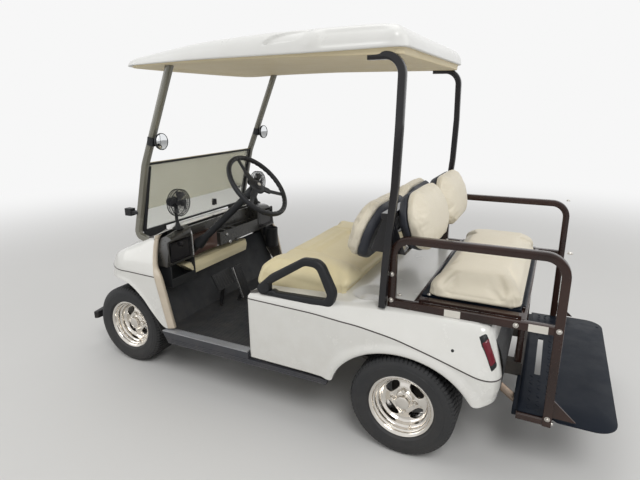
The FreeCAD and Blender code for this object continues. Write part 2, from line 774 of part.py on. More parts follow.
# Dash: a block with a pocket behind each door, joined by a low panel; the console between them has wells
dashRear, dashTop = fromRear(1309), doorHigh + 52
dashLine = [(dashFront, dashLow), (dashFront, dashTop - 16, 10), (fromRear(1352), dashTop, 16),
            (fromRear(1316), dashTop - 10, 20), (dashRear, dashTop - 32, 12), (dashRear, dashLow)]
doorLow = doorHigh - doorDepth
doorInner, doorOuter = dashHalf - 196, dashHalf - 20
doorGap, doorWall = 2, 9
blockInner = doorInner - 12
backWall = 12
pocketFront = dashFront - 7
dashPocket = box((fromRear(1300), doorInner, doorLow), (pocketFront, doorOuter, doorHigh))
endLine = [(blockInner, dashLow - 10), (dashHalf, dashLow - 10), (dashHalf, doorHigh - 35),
           (dashHalf - 31, dashTop + 8), (blockInner, dashTop + 8)]
endShape = slab(endLine, "YZ", dashRear - 10, dashFront + 10)
blockShape = common(slab(dashLine, "XZ", blockInner, dashHalf), endShape)
sideBlock = cut(blockShape, dashPocket)
backPanel = box((dashFront - backWall, -blockInner, dashLow), (dashFront, blockInner, dashTop - 26))
consoleTop, consoleSide = dashLow + 78, 80
wellX, wellRadius, wellDepth = fromRear(1342), 28, 62
console = box((dashRear, -blockInner, dashLow), (dashFront - backWall, consoleSide, consoleTop))
for wellY in (42, -40):
    wellFoot = (wellX, wellY, consoleTop - wellDepth)
    console = cut(console, cylinder(wellRadius, wellFoot, (wellX, wellY, consoleTop + 20)))
ballTray = box((fromRear(1317), -300, consoleTop - 28), (fromRear(1365), -96, consoleTop + 20))
node("dash_console", cut(console, ballTray))
wheelCentre = vector(fromRear(886), steeringSpread, steeringHeight)
columnFoot = vector(fromRear(1420), steeringSpread, 606)
columnWay = (wheelCentre - columnFoot).normalize()
collarTop = wheelCentre - columnWay * 34
tube = cylinder(columnRadius, tuple(columnFoot), tuple(collarTop))
pinRadius = 2
hingeX, hingeZ = dashRear + doorWall / 2, doorLow + doorGap + doorWall / 2
hingePin = cylinder(pinRadius, (hingeX, doorInner, hingeZ), (hingeX, doorOuter, hingeZ))
pinnedBlock = join([sideBlock, hingePin])
dash = node("dash", cut(join([pinnedBlock, mirrored(pinnedBlock), backPanel]), tube))
doorFoot = doorLow + doorGap + 0.1
doorLine = [(dashRear, doorHigh - doorGap), (dashRear, doorFoot, 4.3), (dashRear + doorWall, doorFoot, 4.3),
            (dashRear + doorWall, doorHigh - doorGap)]
doorBody = slab(doorLine, "XZ", doorInner + doorGap, doorOuter - doorGap)
doorBore = cylinder(pinRadius + runningGap, (hingeX, doorInner - 20, hingeZ), (hingeX, doorOuter + 20, hingeZ))
knobY, knobZ = (doorInner + doorOuter) / 2, doorHigh - 22
knob = cylinder(12, (dashRear - 8, knobY, knobZ), (dashRear + 1, knobY, knobZ))
door = node("glovebox_door_left", cut(join([doorBody, knob]), doorBore))
node("glovebox_door_right", mirrored(door))


# Strip under the dash, with an open bin on the left and a round holder on the right
stripRear, stripLow = fromRear(1320), dashLow - 55
binRear, binWall = fromRear(1300), 6
binInner, binOuter, binDepth = doorInner - 10, dashHalf - 16, 80
holeInner, holeOuter = binInner + binWall, binOuter - binWall
stripLine = [(stripRear, stripLow), (dashFront, stripLow), (dashFront, dashLow), (stripRear, dashLow)]
profileBody("dash_tray", stripLine, -binInner, 235)
binSolid = box((binRear, binInner, dashLow - binDepth), (dashFront, binOuter, dashLow))
binHole = box((binRear + binWall, holeInner, dashLow - binDepth + binWall),
              (dashFront - binWall, holeOuter, dashLow + 10))
binMouth = box((binRear - 10, holeInner, dashLow - 50), (binRear + 10, holeOuter, dashLow))
holderX, holderY, holderRadius, holderWall = fromRear(1262), 106 - dashHalf, 42, 5
holderLow = dashLow - 90
holder = join([cylinder(holderRadius, (holderX, holderY, holderLow), (holderX, holderY, dashLow)),
               box((holderX + 30, holderY - 15, dashLow - 40), (fromRear(1325), holderY + 15, dashLow))])
holderFoot = (holderX, holderY, holderLow + 6)
holderHole = cylinder(holderRadius - holderWall, holderFoot, (holderX, holderY, dashLow + 60))
node("dash_bins", together([cut(binSolid, binHole, binMouth), cut(holder, holderHole)]))


# Windshield: the upper sheet is folded down in front of the lower one
glassHalf = strutSpread - strutWidth / 2 - softGap
glassLow = cowlHeight
foldShift = 14
glassLean = wheelBase * ((1500 - 1430) / designBase) / (glassHigh - 800)


def glassX(z):
    return fromRear(1500) - (z - 800) * glassLean


def glassLine(low, high, shift):
    return [(glassX(low) + shift, low), (glassX(low) + shift + glassWall, low),
            (glassX(high) + shift + glassWall, high), (glassX(high) + shift, high)]


sheetTop = glassHigh - 6
profileBody("windshield_lower", glassLine(glassLow, sheetTop, 0), -glassHalf, glassHalf)
profileBody("windshield_upper", glassLine(foldLow, sheetTop, foldShift), -glassHalf, glassHalf)
trimRear, trimFront = glassX(glassHigh) - 2, glassX(glassHigh) + 22
trimTop = glassHigh + 4
hingeLine = [(trimRear, sheetTop), (trimFront, sheetTop), (trimFront, trimTop, 4), (trimRear, trimTop, 4)]
footRear, footFront = glassX(glassLow) - 6, glassX(glassLow) + 12
footLine = [(footRear, glassLow - 8), (footFront, glassLow - 8), (footFront, glassLow), (footRear, glassLow)]
glassTrim = [slab(line, "XZ", -glassHalf, glassHalf) for line in (hingeLine, footLine)]
node("windshield_trim", together(glassTrim))


# Mirrors on the front struts
def strutX(z):
    rise = (z - glassHigh) / (strutTop + 40 - glassHigh)
    return fromRear(1430) - (fromRear(1430) - fromRear(1212)) * rise


mirrorX = strutX(mirrorHeight) - 60
mirrorY = strutSpread - 6
mirrorWall, mirrorDepth = 3, 22


def mirrorDisc(radius, start, end):
    return cylinder(radius, (mirrorX + start, mirrorY, mirrorHeight), (mirrorX + end, mirrorY, mirrorHeight))


mirrorCup = cut(mirrorDisc(mirrorRadius, 0, mirrorDepth), mirrorDisc(mirrorRadius - mirrorWall, -1, 5))
mirrorStem = mirrorDisc(6, 10, strutX(mirrorHeight) + 4 - mirrorX)
node("mirrors", both(cut(join([mirrorCup, mirrorStem]), frontStrut)))
node("mirror_glass", both(mirrorDisc(mirrorRadius - mirrorWall - softGap, 1, 5)))


# Dash fans: stand, motor and wire cage on the dash; the blades turn
fanX, fanY, fanZ = fromRear(1330), dashHalf - fanInset, fanHeight
fanMotor = cylinder(24, (fanX + 18, fanY, fanZ), (fanX + 70, fanY, fanZ))
fanPost = cylinder(9, (fanX + 24, fanY, dashTop - 7), (fanX + 24, fanY, fanZ - 10))
fanFoot = cylinder(26, (fanX + 24, fanY, dashTop - 16), (fanX + 24, fanY, dashTop + 8))
wireRadius = 1.6
cageRings = []
for share, along in ((1, 18), (1, -16), (0.62, -24), (0.3, -26)):
    radius = fanRadius * share
    start, end = (fanX + along - wireRadius, fanY, fanZ), (fanX + along + wireRadius, fanY, fanZ)
    cageRings.append(cut(cylinder(radius + wireRadius, start, end), cylinder(radius - wireRadius, start, end)))
spokes = []
for index in range(8):
    turn = math.radians(45 * index)
    across, up = math.cos(turn), math.sin(turn)
    wire = [(20, 22), (fanRadius, 18), (fanRadius, -16), (fanRadius * 0.62, -24), (6, -26)]
    points = [(fanX + along, fanY + across * radius, fanZ + up * radius) for radius, along in wire]
    spokes.append(squareTube(points, 2.4, 2.4, 3, (0, -up, across)))
cageNose = cylinder(12, (fanX - 28, fanY, fanZ), (fanX - 24, fanY, fanZ))
fanShaft = cylinder(3, (fanX - 5, fanY, fanZ), (fanX + 18, fanY, fanZ))
fan = node("fan_left", cut(join([fanMotor, cageNose, fanShaft, fanPost, fanFoot] + cageRings + spokes), dash))
node("fan_right", mirrored(fan))
blades = [cylinder(14, (fanX - 12, fanY, fanZ), (fanX + 12, fanY, fanZ))]
fanCentre = vector(fanX, fanY, fanZ)
for index in range(4):
    blade = doc.addObject("Part::Box", "Blade")
    blade.Length = 3
    blade.Width = fanRadius - 20
    blade.Height = 36
    around = FreeCAD.Rotation(vector(1, 0, 0), 90 * index + 20)
    pitch = FreeCAD.Rotation(vector(0, 1, 0), 28)
    turn = around.multiply(pitch)
    blade.Placement = FreeCAD.Placement(fanCentre + turn.multVec(vector(-1.5, 8, -18)), turn)
    blades.append(blade)
shaftBore = cylinder(3 + runningGap, (fanX - 5, fanY, fanZ), (fanX + 20, fanY, fanZ))
rotor = node("fan_rotor_left", cut(join(blades), shaftBore))
node("fan_rotor_right", mirrored(rotor))


# Steering column and wheel
shaftTop = wheelCentre - columnWay * 4
shaftRadius = 9
steeringShaft = cylinder(shaftRadius, tuple(collarTop - columnWay * 2), tuple(shaftTop))
node("steering_column", join([tube, steeringShaft]))
spokeParts = [torus(steeringRadius, steeringGrip, wheelCentre, columnWay),
              cylinder(30, tuple(wheelCentre - columnWay * 28), tuple(wheelCentre + columnWay * 2))]
side = vector(0, 1, 0)
upWay = columnWay.cross(side) * -1
for angle in (90, 210, 330):
    turn = math.radians(angle)
    out = side * math.cos(turn) + upWay * math.sin(turn)
    spokeStart = wheelCentre - columnWay * 12 + out * 24
    spokeEnd = wheelCentre - columnWay * 2 + out * (steeringRadius - 4)
    spokeParts.append(squareTube([tuple(spokeStart), tuple(spokeEnd)], 22, 7, 1, tuple(out.cross(columnWay))))
hubBore = cylinder(shaftRadius + runningGap, tuple(collarTop - columnWay * 10), tuple(shaftTop + columnWay * 2))
node("steering_wheel", cut(join(spokeParts), hubBore))


# Pedals on arms that rise from the toe board
def pedal(label, y, width, height):
    plate = doc.addObject("Part::Box", "Plate")
    plate.Length, plate.Width, plate.Height = 12, width, height
    turn = FreeCAD.Rotation(vector(0, 1, 0), 28)
    centre = vector(fromRear(1235), y, 420)
    plate.Placement = FreeCAD.Placement(centre - turn.multVec(vector(6, width / 2, height / 2)), turn)
    armPath = [(fromRear(1240), y, 420), (fromRear(1290), y, 330), (fromRear(1332), y, floorHeight - 4)]
    arm = squareTube(armPath, 14, 12, 20)
    below = box((fromRear(1200), y - 60, 0), (fromRear(1400), y + 60, floorHeight + matWall))
    return node(label, cut(join([plate, arm]), below))


pedal("brake_pedal", 185, 92, 70)
pedal("accelerator_pedal", 60, 74, 130)


# Front axle: beam with yokes; the knuckles turn on the kingpins and the tie rod joins their arms
kingY = frontY - kingpinInset
yokeHigh, yokeLow = axleHeight + 44, axleHeight - 44
earWall = 14
beam = box((frontAxle - 24, -kingY + 30, axleHeight - 22), (frontAxle + 24, kingY - 30, axleSeat))
yoke = box((frontAxle - 24, kingY - 46, yokeLow - earWall), (frontAxle + 24, kingY - 28, yokeHigh + earWall))
earHigh = box((frontAxle - 20, kingY - 30, yokeHigh), (frontAxle + 20, kingY + 18, yokeHigh + earWall))
earLow = box((frontAxle - 20, kingY - 30, yokeLow - earWall), (frontAxle + 20, kingY + 18, yokeLow))
kingpin = cylinder(kingpinRadius, (frontAxle, kingY, yokeLow - earWall), (frontAxle, kingY, yokeHigh + earWall))
leftEnd = join([yoke, earHigh, earLow, kingpin])
node("front_axle", join([beam, leftEnd, mirrored(leftEnd)]))
spindleEnd = frontY + rimWidth / 2 - dishDepth - 2
armX, armZ = frontAxle - steeringArm, axleHeight - tieRodDrop
knuckleBody = cylinder(26, (frontAxle, kingY, yokeLow + 1), (frontAxle, kingY, yokeHigh - 1))
spindle = cylinder(spindleRadius, (frontAxle, kingY, axleHeight), (frontAxle, spindleEnd, axleHeight))
armBar = box((armX, kingY - 11, armZ - 8), (frontAxle, kingY + 11, armZ + 6))
armEye = cylinder(13, (armX, kingY, armZ - 8), (armX, kingY, armZ + 6))
armPinRadius = 6
armPin = cylinder(armPinRadius, (armX, kingY, armZ - 30), (armX, kingY, armZ))
kingBore = cylinder(kingpinRadius + runningGap, (frontAxle, kingY, 0), (frontAxle, kingY, 400))
knuckle = node("knuckle_left", cut(join([knuckleBody, spindle, armBar, armEye, armPin]), kingBore))
node("knuckle_right", mirrored(knuckle))
rodZ, eyeHalf = armZ - 20, 9
rod = cylinder(tieRodRadius, (armX, -kingY + 13, rodZ), (armX, kingY - 13, rodZ))
eye = cylinder(15, (armX, kingY, rodZ - eyeHalf), (armX, kingY, rodZ + eyeHalf))
leftBore = cylinder(armPinRadius + runningGap, (armX, kingY, rodZ - 20), (armX, kingY, rodZ + 20))
rightBore = cylinder(armPinRadius + 2, (armX, -kingY, rodZ - 20), (armX, -kingY, rodZ + 20))
node("tie_rod", cut(join([rod, eye, mirrored(eye)]), leftBore, rightBore))


# Rear axle, springs, engine and exhaust
housing = cylinder(30, (rearAxle, -rearY + 120, axleHeight), (rearAxle, rearY - 120, axleHeight))
gearcase = cylinder(92, (rearAxle, -60, axleHeight), (rearAxle, 60, axleHeight))
drum = cylinder(84, (rearAxle, rearY - 122, axleHeight), (rearAxle, rearY - 62, axleHeight))
stubEnd = rearY + rimWidth / 2 - dishDepth - 2
stub = cylinder(spindleRadius, (rearAxle, rearY - 70, axleHeight), (rearAxle, stubEnd, axleHeight))
node("rear_axle", join([housing, gearcase, drum, stub, mirrored(drum), mirrored(stub)]))
springY, springHalf, leafWall = 300, 24, 18
leafEnd = axleHeight + 32.5
leafRear, leafFront = fromRear(-330), fromRear(330)
leafLine = [(leafRear, leafEnd), (rearAxle, axleHeight - 60, 900), (leafFront, leafEnd),
            (leafFront, leafEnd + leafWall), (rearAxle, axleHeight - 30, 900), (leafRear, leafEnd + leafWall)]
axleTube = cylinder(30, (rearAxle, 0, axleHeight), (rearAxle, 600, axleHeight))
leaf = cut(slab(leafLine, "XZ", springY - springHalf, springY + springHalf), axleTube)
hangerOuter = springY + springHalf + 2
hangers = [box((end - 15, railOuter, leafEnd), (end + 15, hangerOuter, rearRailTop))
           for end in (leafRear, leafFront)]
damperX, damperY, damperHigh = fromRear(-110), 262, 400
damper = cylinder(20, (damperX + 40, damperY, axleHeight + 20.5), (damperX, damperY, damperHigh))
damperTop = box((damperX - 20, railOuter, damperHigh - 4), (damperX + 20, damperY + 24, damperHigh + 12))
damperPost = box((damperX - 20, railOuter, railTop), (damperX + 20, railOuter + 8, damperHigh + 12))
damperLow = box((damperX + 28, damperY - 16, axleHeight + 8.5), (damperX + 82, damperY + 16, axleHeight + 22.5))
node("rear_suspension", both(cut(join([leaf, damper, damperTop, damperPost, damperLow] + hangers), axleTube)))
node("engine", box((fromRear(130), -190, rearRailTop), (fromRear(400), 190, rearRailTop + 240)))
mufflerX, mufflerZ, mufflerRadius = fromRear(-230), rearRailTop + 58, 55
muffler = cylinder(mufflerRadius, (mufflerX, -150, mufflerZ), (mufflerX, 200, mufflerZ))
saddle = box((mufflerX - 25, railY - 20, rearRailTop), (mufflerX + 25, railY - 4, mufflerZ))
tail = roundTube([(mufflerX, 195, mufflerZ), (mufflerX, 368, mufflerZ), (fromRear(-430), 368, 250)], 17, 60)
node("exhaust", join([muffler, saddle, tail]))


# Rear seat kit: welded frame of rectangular tube with gussets at the posts' feet
kitWidth = 30
postX = fromRear(-556)
railHigh = kitHeight + kitHalf
sideRail = box((postX, kitSpread - kitWidth / 2, deckHeight), (uprightX, kitSpread + kitWidth / 2, railHigh))
postFoot = plateHeight - 44
hoopPath = [(uprightX, kitSpread, deckHeight), (uprightX, kitSpread, kitRailHeight),
            (postX, kitSpread, kitRailHeight), (postX, kitSpread, postFoot)]
hoop = squareTube(hoopPath, kitWidth, kitTube, 62)
seatRear = fromRear(-420)
pivotRadius, barrelRadius, earHalf = 3, 6, 4.5
boardWall = 12
boardLow = kitHeight + kitHalf + softGap
pivotX, pivotZ = seatRear - 8, boardLow + boardWall / 2
legX = fromRear(-436)
leg = box((legX, railY - 15, rearRailTop), (legX + 28, railY + 15, kitHeight))
ear = box((pivotX - earHalf, 408, kitHeight), (pivotX + earHalf, 416, pivotZ + earHalf))
kitPin = cylinder(pivotRadius, (pivotX, 380, pivotZ), (pivotX, 416, pivotZ))
gussetRear, gussetLow, gussetReach = postX - kitHalf, plateHeight - 2, 80
gussetLine = [(gussetRear, gussetLow), (gussetRear, gussetLow + gussetReach),
              (gussetRear - gussetReach, gussetLow)]
gusset = slab(gussetLine, "XZ", kitSpread - 4, kitSpread + 2)
kitSide = join([sideRail, hoop, leg, ear, kitPin, gusset])
crossKit = [box((rear, -kitSpread, deckHeight), (rear + kitWidth, kitSpread, railHigh))
            for rear in (fromRear(-40), fromRear(-442))]
crossLow = box((postX - kitHalf, -kitSpread, plateHeight - 40), (postX + kitHalf, kitSpread, plateHeight - 8))
node("kit_frame", join([kitSide, mirrored(kitSide), crossLow] + crossKit))


# Footplate with tapered rear corners, notched round the posts and gussets, and a long slot
plateFront, plateRear = railRear, rearAxle - rearReach
plateHalf = kitSpread - 8
plateOutline = [(plateFront, -plateHalf), (plateFront, plateHalf), (fromRear(-590), plateHalf, 60),
                (plateRear, 413, 40), (plateRear, -413, 40), (fromRear(-590), -plateHalf, 60)]
plateLow = plateHeight - 8
footplate = slab(plateOutline, "XY", plateLow, plateLow + plateWall)
notch = box((postX - kitHalf - 84, kitSpread - 6, 0), (postX + kitHalf + 2, kitSpread + 30, 400))
postNotch = box((postX - kitHalf - 2, kitSpread - 30, 0), (postX + kitHalf + 2, kitSpread + 30, 400))
slotRear, slotFront, slotInner, slotOuter, slotCorner = fromRear(-500), fromRear(-478), 300, 440, 10
slotLine = [(slotRear, slotInner, slotCorner), (slotRear, slotOuter, slotCorner),
            (slotFront, slotOuter, slotCorner), (slotFront, slotInner, slotCorner)]
slot = slab(slotLine, "XY", 0, 400)
node("footplate", cut(footplate, notch, mirrored(notch), postNotch, mirrored(postNotch), slot))


# Rear seat: board and cushion that flip about pins at the board's rear edge
boardHalf = rearSeatWidth / 2 + 10
barrelHalf = 400
board = box((seatRear, -boardHalf, boardLow), (seatRear + rearSeatDepth + 20, boardHalf, boardLow + boardWall))
barrel = cylinder(barrelRadius, (pivotX, -barrelHalf, pivotZ), (pivotX, barrelHalf, pivotZ))
bridge = box((pivotX, -barrelHalf, boardLow + 2), (seatRear + 2, barrelHalf, boardLow + boardWall - 2))
pivotBore = cylinder(pivotRadius + runningGap, (pivotX, -500, pivotZ), (pivotX, 500, pivotZ))
node("rear_seat_board", cut(join([board, barrel, bridge]), pivotBore))
cushionFoot = boardLow + boardWall + softGap
cushionHigh = boardLow + boardWall + rearSeatThickness
rearLine = [(seatRear + 10, cushionFoot), (seatRear + rearSeatDepth, cushionFoot, 12),
            (seatRear + rearSeatDepth, cushionHigh, 40), (seatRear + 10, cushionHigh, 40)]
rearHalf = rearSeatWidth / 2
rearPlan = [(seatRear, -rearHalf, 60), (seatRear + rearSeatDepth + 1, -rearHalf, 60),
            (seatRear + rearSeatDepth + 1, rearHalf, 60), (seatRear, rearHalf, 60)]
rearBlock = slab(rearLine, "XZ", -rearHalf, rearHalf)
node("rear_seat_cushion", common(rearBlock, slab(rearPlan, "XY", cushionFoot - 5, cushionHigh + 5)))


# Recompute, test and write every piece
doc.recompute()
for item in doc.Objects:
    if "Invalid" in item.State or "Error" in item.State:
        raise RuntimeError("%s failed: %s" % (item.Label, item.State))
for piece in nodes:
    if piece.Shape.isNull() or not piece.Shape.isValid() or not piece.Shape.Solids:
        raise RuntimeError(piece.Label + " has no valid shape")
    piece.Shape.exportStep("parts/" + piece.Label + ".step")
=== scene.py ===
import bmesh
import bpy
import math
import numpy as np
from mathutils import Matrix, Vector


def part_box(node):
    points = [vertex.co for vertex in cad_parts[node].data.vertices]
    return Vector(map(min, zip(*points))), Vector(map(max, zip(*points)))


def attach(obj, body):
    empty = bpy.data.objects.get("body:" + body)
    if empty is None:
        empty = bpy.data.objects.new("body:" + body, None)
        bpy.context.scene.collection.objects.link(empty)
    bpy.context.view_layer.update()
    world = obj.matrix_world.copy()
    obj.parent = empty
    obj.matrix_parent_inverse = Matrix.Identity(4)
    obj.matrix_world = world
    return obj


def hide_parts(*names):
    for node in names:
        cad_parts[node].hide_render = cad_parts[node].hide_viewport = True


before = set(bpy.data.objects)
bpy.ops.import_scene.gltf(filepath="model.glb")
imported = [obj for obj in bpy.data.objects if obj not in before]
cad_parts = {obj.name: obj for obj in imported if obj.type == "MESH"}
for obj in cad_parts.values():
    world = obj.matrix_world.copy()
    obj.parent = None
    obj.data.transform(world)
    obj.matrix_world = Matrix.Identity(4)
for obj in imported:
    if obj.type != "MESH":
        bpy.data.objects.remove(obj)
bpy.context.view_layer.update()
scene = bpy.context.scene
print("frame loaded")

rearLow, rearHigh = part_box("rim_rear_left")
frontLow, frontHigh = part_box("rim_front_left")
rearAxle = (rearLow.x + rearHigh.x) / 2
frontAxle = (frontLow.x + frontHigh.x) / 2
axleHeight = (rearLow.z + rearHigh.z) / 2
mm = 0.001


def cart(points):
    # Millimetres forward of the rear axle, left of the middle and above the ground, to metres in the frame
    return np.asarray(points, float) * mm + np.array([rearAxle, 0, 0])


def fromFrame(points):
    # Metres in the frame back to cart millimetres
    return (points - np.array([rearAxle, 0, 0])) / mm


def readPoints(mesh):
    points = np.empty(len(mesh.vertices) * 3)
    mesh.vertices.foreach_get("co", points)
    return points.reshape(-1, 3)


# Camera solved from the photograph: metres and radians in the cart's own frame
photoView = {"place": (-1.077, 2.326, 1.463), "yaw": -1.111, "pitch": 0.276, "roll": -0.009, "lens": 26.9}


def makeCamera(view):
    yaw, pitch, roll = view["yaw"], view["pitch"], view["roll"]
    forward = Vector((math.cos(yaw) * math.cos(pitch), math.sin(yaw) * math.cos(pitch), -math.sin(pitch)))
    right = Vector((math.sin(yaw), -math.cos(yaw), 0))
    up = right.cross(forward)
    turnedRight = right * math.cos(roll) + up * math.sin(roll)
    turnedUp = up * math.cos(roll) - right * math.sin(roll)
    data = bpy.data.cameras.new("camera")
    data.lens, data.sensor_width = view["lens"], 36
    camera = bpy.data.objects.new("camera", data)
    turn = Matrix((turnedRight, turnedUp, -forward)).transposed()
    camera.matrix_world = Matrix.Translation(view["place"]) @ turn.to_4x4()
    scene.collection.objects.link(camera)
    scene.camera = camera


# Shader node groups shared by the finishes
def newGroup(name, inputs, outputs):
    group = bpy.data.node_groups.new(name, "ShaderNodeTree")
    for label, kind, value in inputs:
        socket = group.interface.new_socket(name=label, in_out="INPUT", socket_type="NodeSocket" + kind)
        if value is not None:
            socket.default_value = value
    for label, kind in outputs:
        group.interface.new_socket(name=label, in_out="OUTPUT", socket_type="NodeSocket" + kind)
    return group, group.nodes.new("NodeGroupInput"), group.nodes.new("NodeGroupOutput")


def addNode(tree, kind, values=(), **settings):
    node = tree.nodes.new("ShaderNode" + kind)
    for key, value in settings.items():
        setattr(node, key, value)
    for key, value in dict(values).items():
        node.inputs[key].default_value = value
    return node


def join(tree, *wires):
    # Each wire: a node and its output, then a node and its input
    for source, output, target, entry in wires:
        tree.links.new(source.outputs[output], target.inputs[entry])


def makeToneGroup():
    # Colour mixed towards a second tone by soft noise patches
    group, given, made = newGroup("tonePatches", [
            ("Vector", "Vector", None), ("Base", "Color", (0.5, 0.5, 0.5, 1)),
            ("Other", "Color", (0.4, 0.4, 0.4, 1)), ("Scale", "Float", 4.0),
            ("Amount", "Float", 0.2)], [("Color", "Color"), ("Mask", "Float")])
    noise = addNode(group, "TexNoise", {"Detail": 4, "Roughness": 0.6})
    spread = addNode(group, "MapRange", {"From Min": 0.35, "From Max": 0.7})
    amount = addNode(group, "Math", operation="MULTIPLY")
    mix = addNode(group, "Mix", data_type="RGBA")
    join(group, (given, "Vector", noise, "Vector"), (given, "Scale", noise, "Scale"),
        (noise, "Fac", spread, "Value"), (spread, "Result", amount, 0), (given, "Amount", amount, 1),
        (amount, 0, mix, "Factor"), (given, "Base", mix, 6), (given, "Other", mix, 7),
        (mix, 2, made, "Color"), (amount, 0, made, "Mask"))
    return group


def makeDustGroup():
    # Road dust: strongest low down and broken up by noise, fading out at the top height
    group, given, made = newGroup("roadDust", [
            ("Vector", "Vector", None), ("Color", "Color", (0.5, 0.5, 0.5, 1)),
            ("Dust", "Color", (0.22, 0.18, 0.14, 1)), ("Top", "Float", 0.5),
            ("Amount", "Float", 0.3)], [("Color", "Color"), ("Mask", "Float")])
    parts = addNode(group, "SeparateXYZ")
    fade = addNode(group, "MapRange", {"From Min": 0.05, "To Min": 1.0, "To Max": 0.0})
    noise = addNode(group, "TexNoise", {"Scale": 14, "Detail": 5, "Roughness": 0.65})
    broken = addNode(group, "MapRange", {"From Min": 0.3, "From Max": 0.75})
    first = addNode(group, "Math", operation="MULTIPLY")
    second = addNode(group, "Math", operation="MULTIPLY")
    mix = addNode(group, "Mix", data_type="RGBA")
    join(group, (given, "Vector", parts, 0), (parts, "Z", fade, "Value"), (given, "Top", fade, "From Max"),
        (given, "Vector", noise, "Vector"), (noise, "Fac", broken, "Value"), (fade, "Result", first, 0),
        (broken, "Result", first, 1), (first, 0, second, 0), (given, "Amount", second, 1),
        (second, 0, mix, "Factor"), (given, "Color", mix, 6), (given, "Dust", mix, 7),
        (mix, 2, made, "Color"), (second, 0, made, "Mask"))
    return group


def makeGrainGroup():
    # Fine moulded or leather grain: cell edges and small noise added into one height
    group, given, made = newGroup("surfaceGrain", [
            ("Vector", "Vector", None), ("Scale", "Float", 600.0),
            ("Cells", "Float", 0.5)], [("Height", "Float"), ("Spread", "Float")])
    cells = addNode(group, "TexVoronoi", feature="DISTANCE_TO_EDGE")
    flat = addNode(group, "MapRange", {"From Max": 0.25})
    noise = addNode(group, "TexNoise", {"Detail": 3, "Roughness": 0.6})
    mix = addNode(group, "Mix", data_type="FLOAT")
    join(group, (given, "Vector", cells, "Vector"), (given, "Scale", cells, "Scale"),
        (given, "Vector", noise, "Vector"), (given, "Scale", noise, "Scale"),
        (cells, "Distance", flat, "Value"), (given, "Cells", mix, "Factor"), (noise, "Fac", mix, 2),
        (flat, "Result", mix, 3), (mix, 0, made, "Height"), (noise, "Fac", made, "Spread"))
    return group


toneGroup, dustGroup, grainGroup = makeToneGroup(), makeDustGroup(), makeGrainGroup()


def groupNode(tree, group, place, values):
    node = addNode(tree, "Group")
    node.node_tree = group
    join(tree, (place, "Object", node, "Vector"))
    for key, value in values.items():
        node.inputs[key].default_value = value
    return node


def newMaterial(name):
    # A material, its tree, its shader and a node that gives places on the object
    material = bpy.data.materials.new(name)
    material.use_nodes = True
    tree = material.node_tree
    return material, tree, tree.nodes["Principled BSDF"], addNode(tree, "TexCoord")


def makeFinish(name, colour, roughness, other=None, tone=(0.35, 5.0), dust=(0.25, 0.5),
        dustColour=(0.2, 0.165, 0.13), bump=0.2, depth=0.0004, grain=(700.0, 0.4), coat=(0, 0.03),
        sheen=0, gloss=0.5, metal=0):
    # Tone: amount, scale. Dust: amount, top height. Grain: scale, share of cells. Coat: weight, roughness
    material, tree, shader, place = newMaterial(name)
    other = other or [part * 0.72 for part in colour]
    toned = groupNode(tree, toneGroup, place, {
            "Base": (*colour, 1), "Other": (*other, 1), "Scale": tone[1], "Amount": tone[0]})
    dusted = groupNode(tree, dustGroup, place, {"Dust": (*dustColour, 1), "Top": dust[1], "Amount": dust[0]})
    grained = groupNode(tree, grainGroup, place, {"Scale": grain[0], "Cells": grain[1]})
    rough = addNode(tree, "MapRange", {
            "From Min": 0.3, "From Max": 0.7, "To Min": roughness[0], "To Max": roughness[1]})
    mottle = addNode(tree, "TexNoise", {"Scale": 9.0, "Detail": 6, "Roughness": 0.7})
    dusty = addNode(tree, "Math", operation="MAXIMUM")
    raised = addNode(tree, "Bump", {"Strength": bump, "Distance": depth})
    join(tree, (toned, "Color", dusted, "Color"), (dusted, "Color", shader, "Base Color"),
        (place, "Object", mottle, "Vector"), (mottle, "Fac", rough, "Value"), (rough, "Result", dusty, 0),
        (dusted, "Mask", dusty, 1), (dusty, 0, shader, "Roughness"), (grained, "Height", raised, "Height"),
        (raised, "Normal", shader, "Normal"))
    fixed = {"Coat Weight": coat[0], "Coat Roughness": coat[1], "Sheen Weight": sheen,
        "Specular IOR Level": gloss, "Metallic": metal}
    for key, value in fixed.items():
        shader.inputs[key].default_value = value
    return material


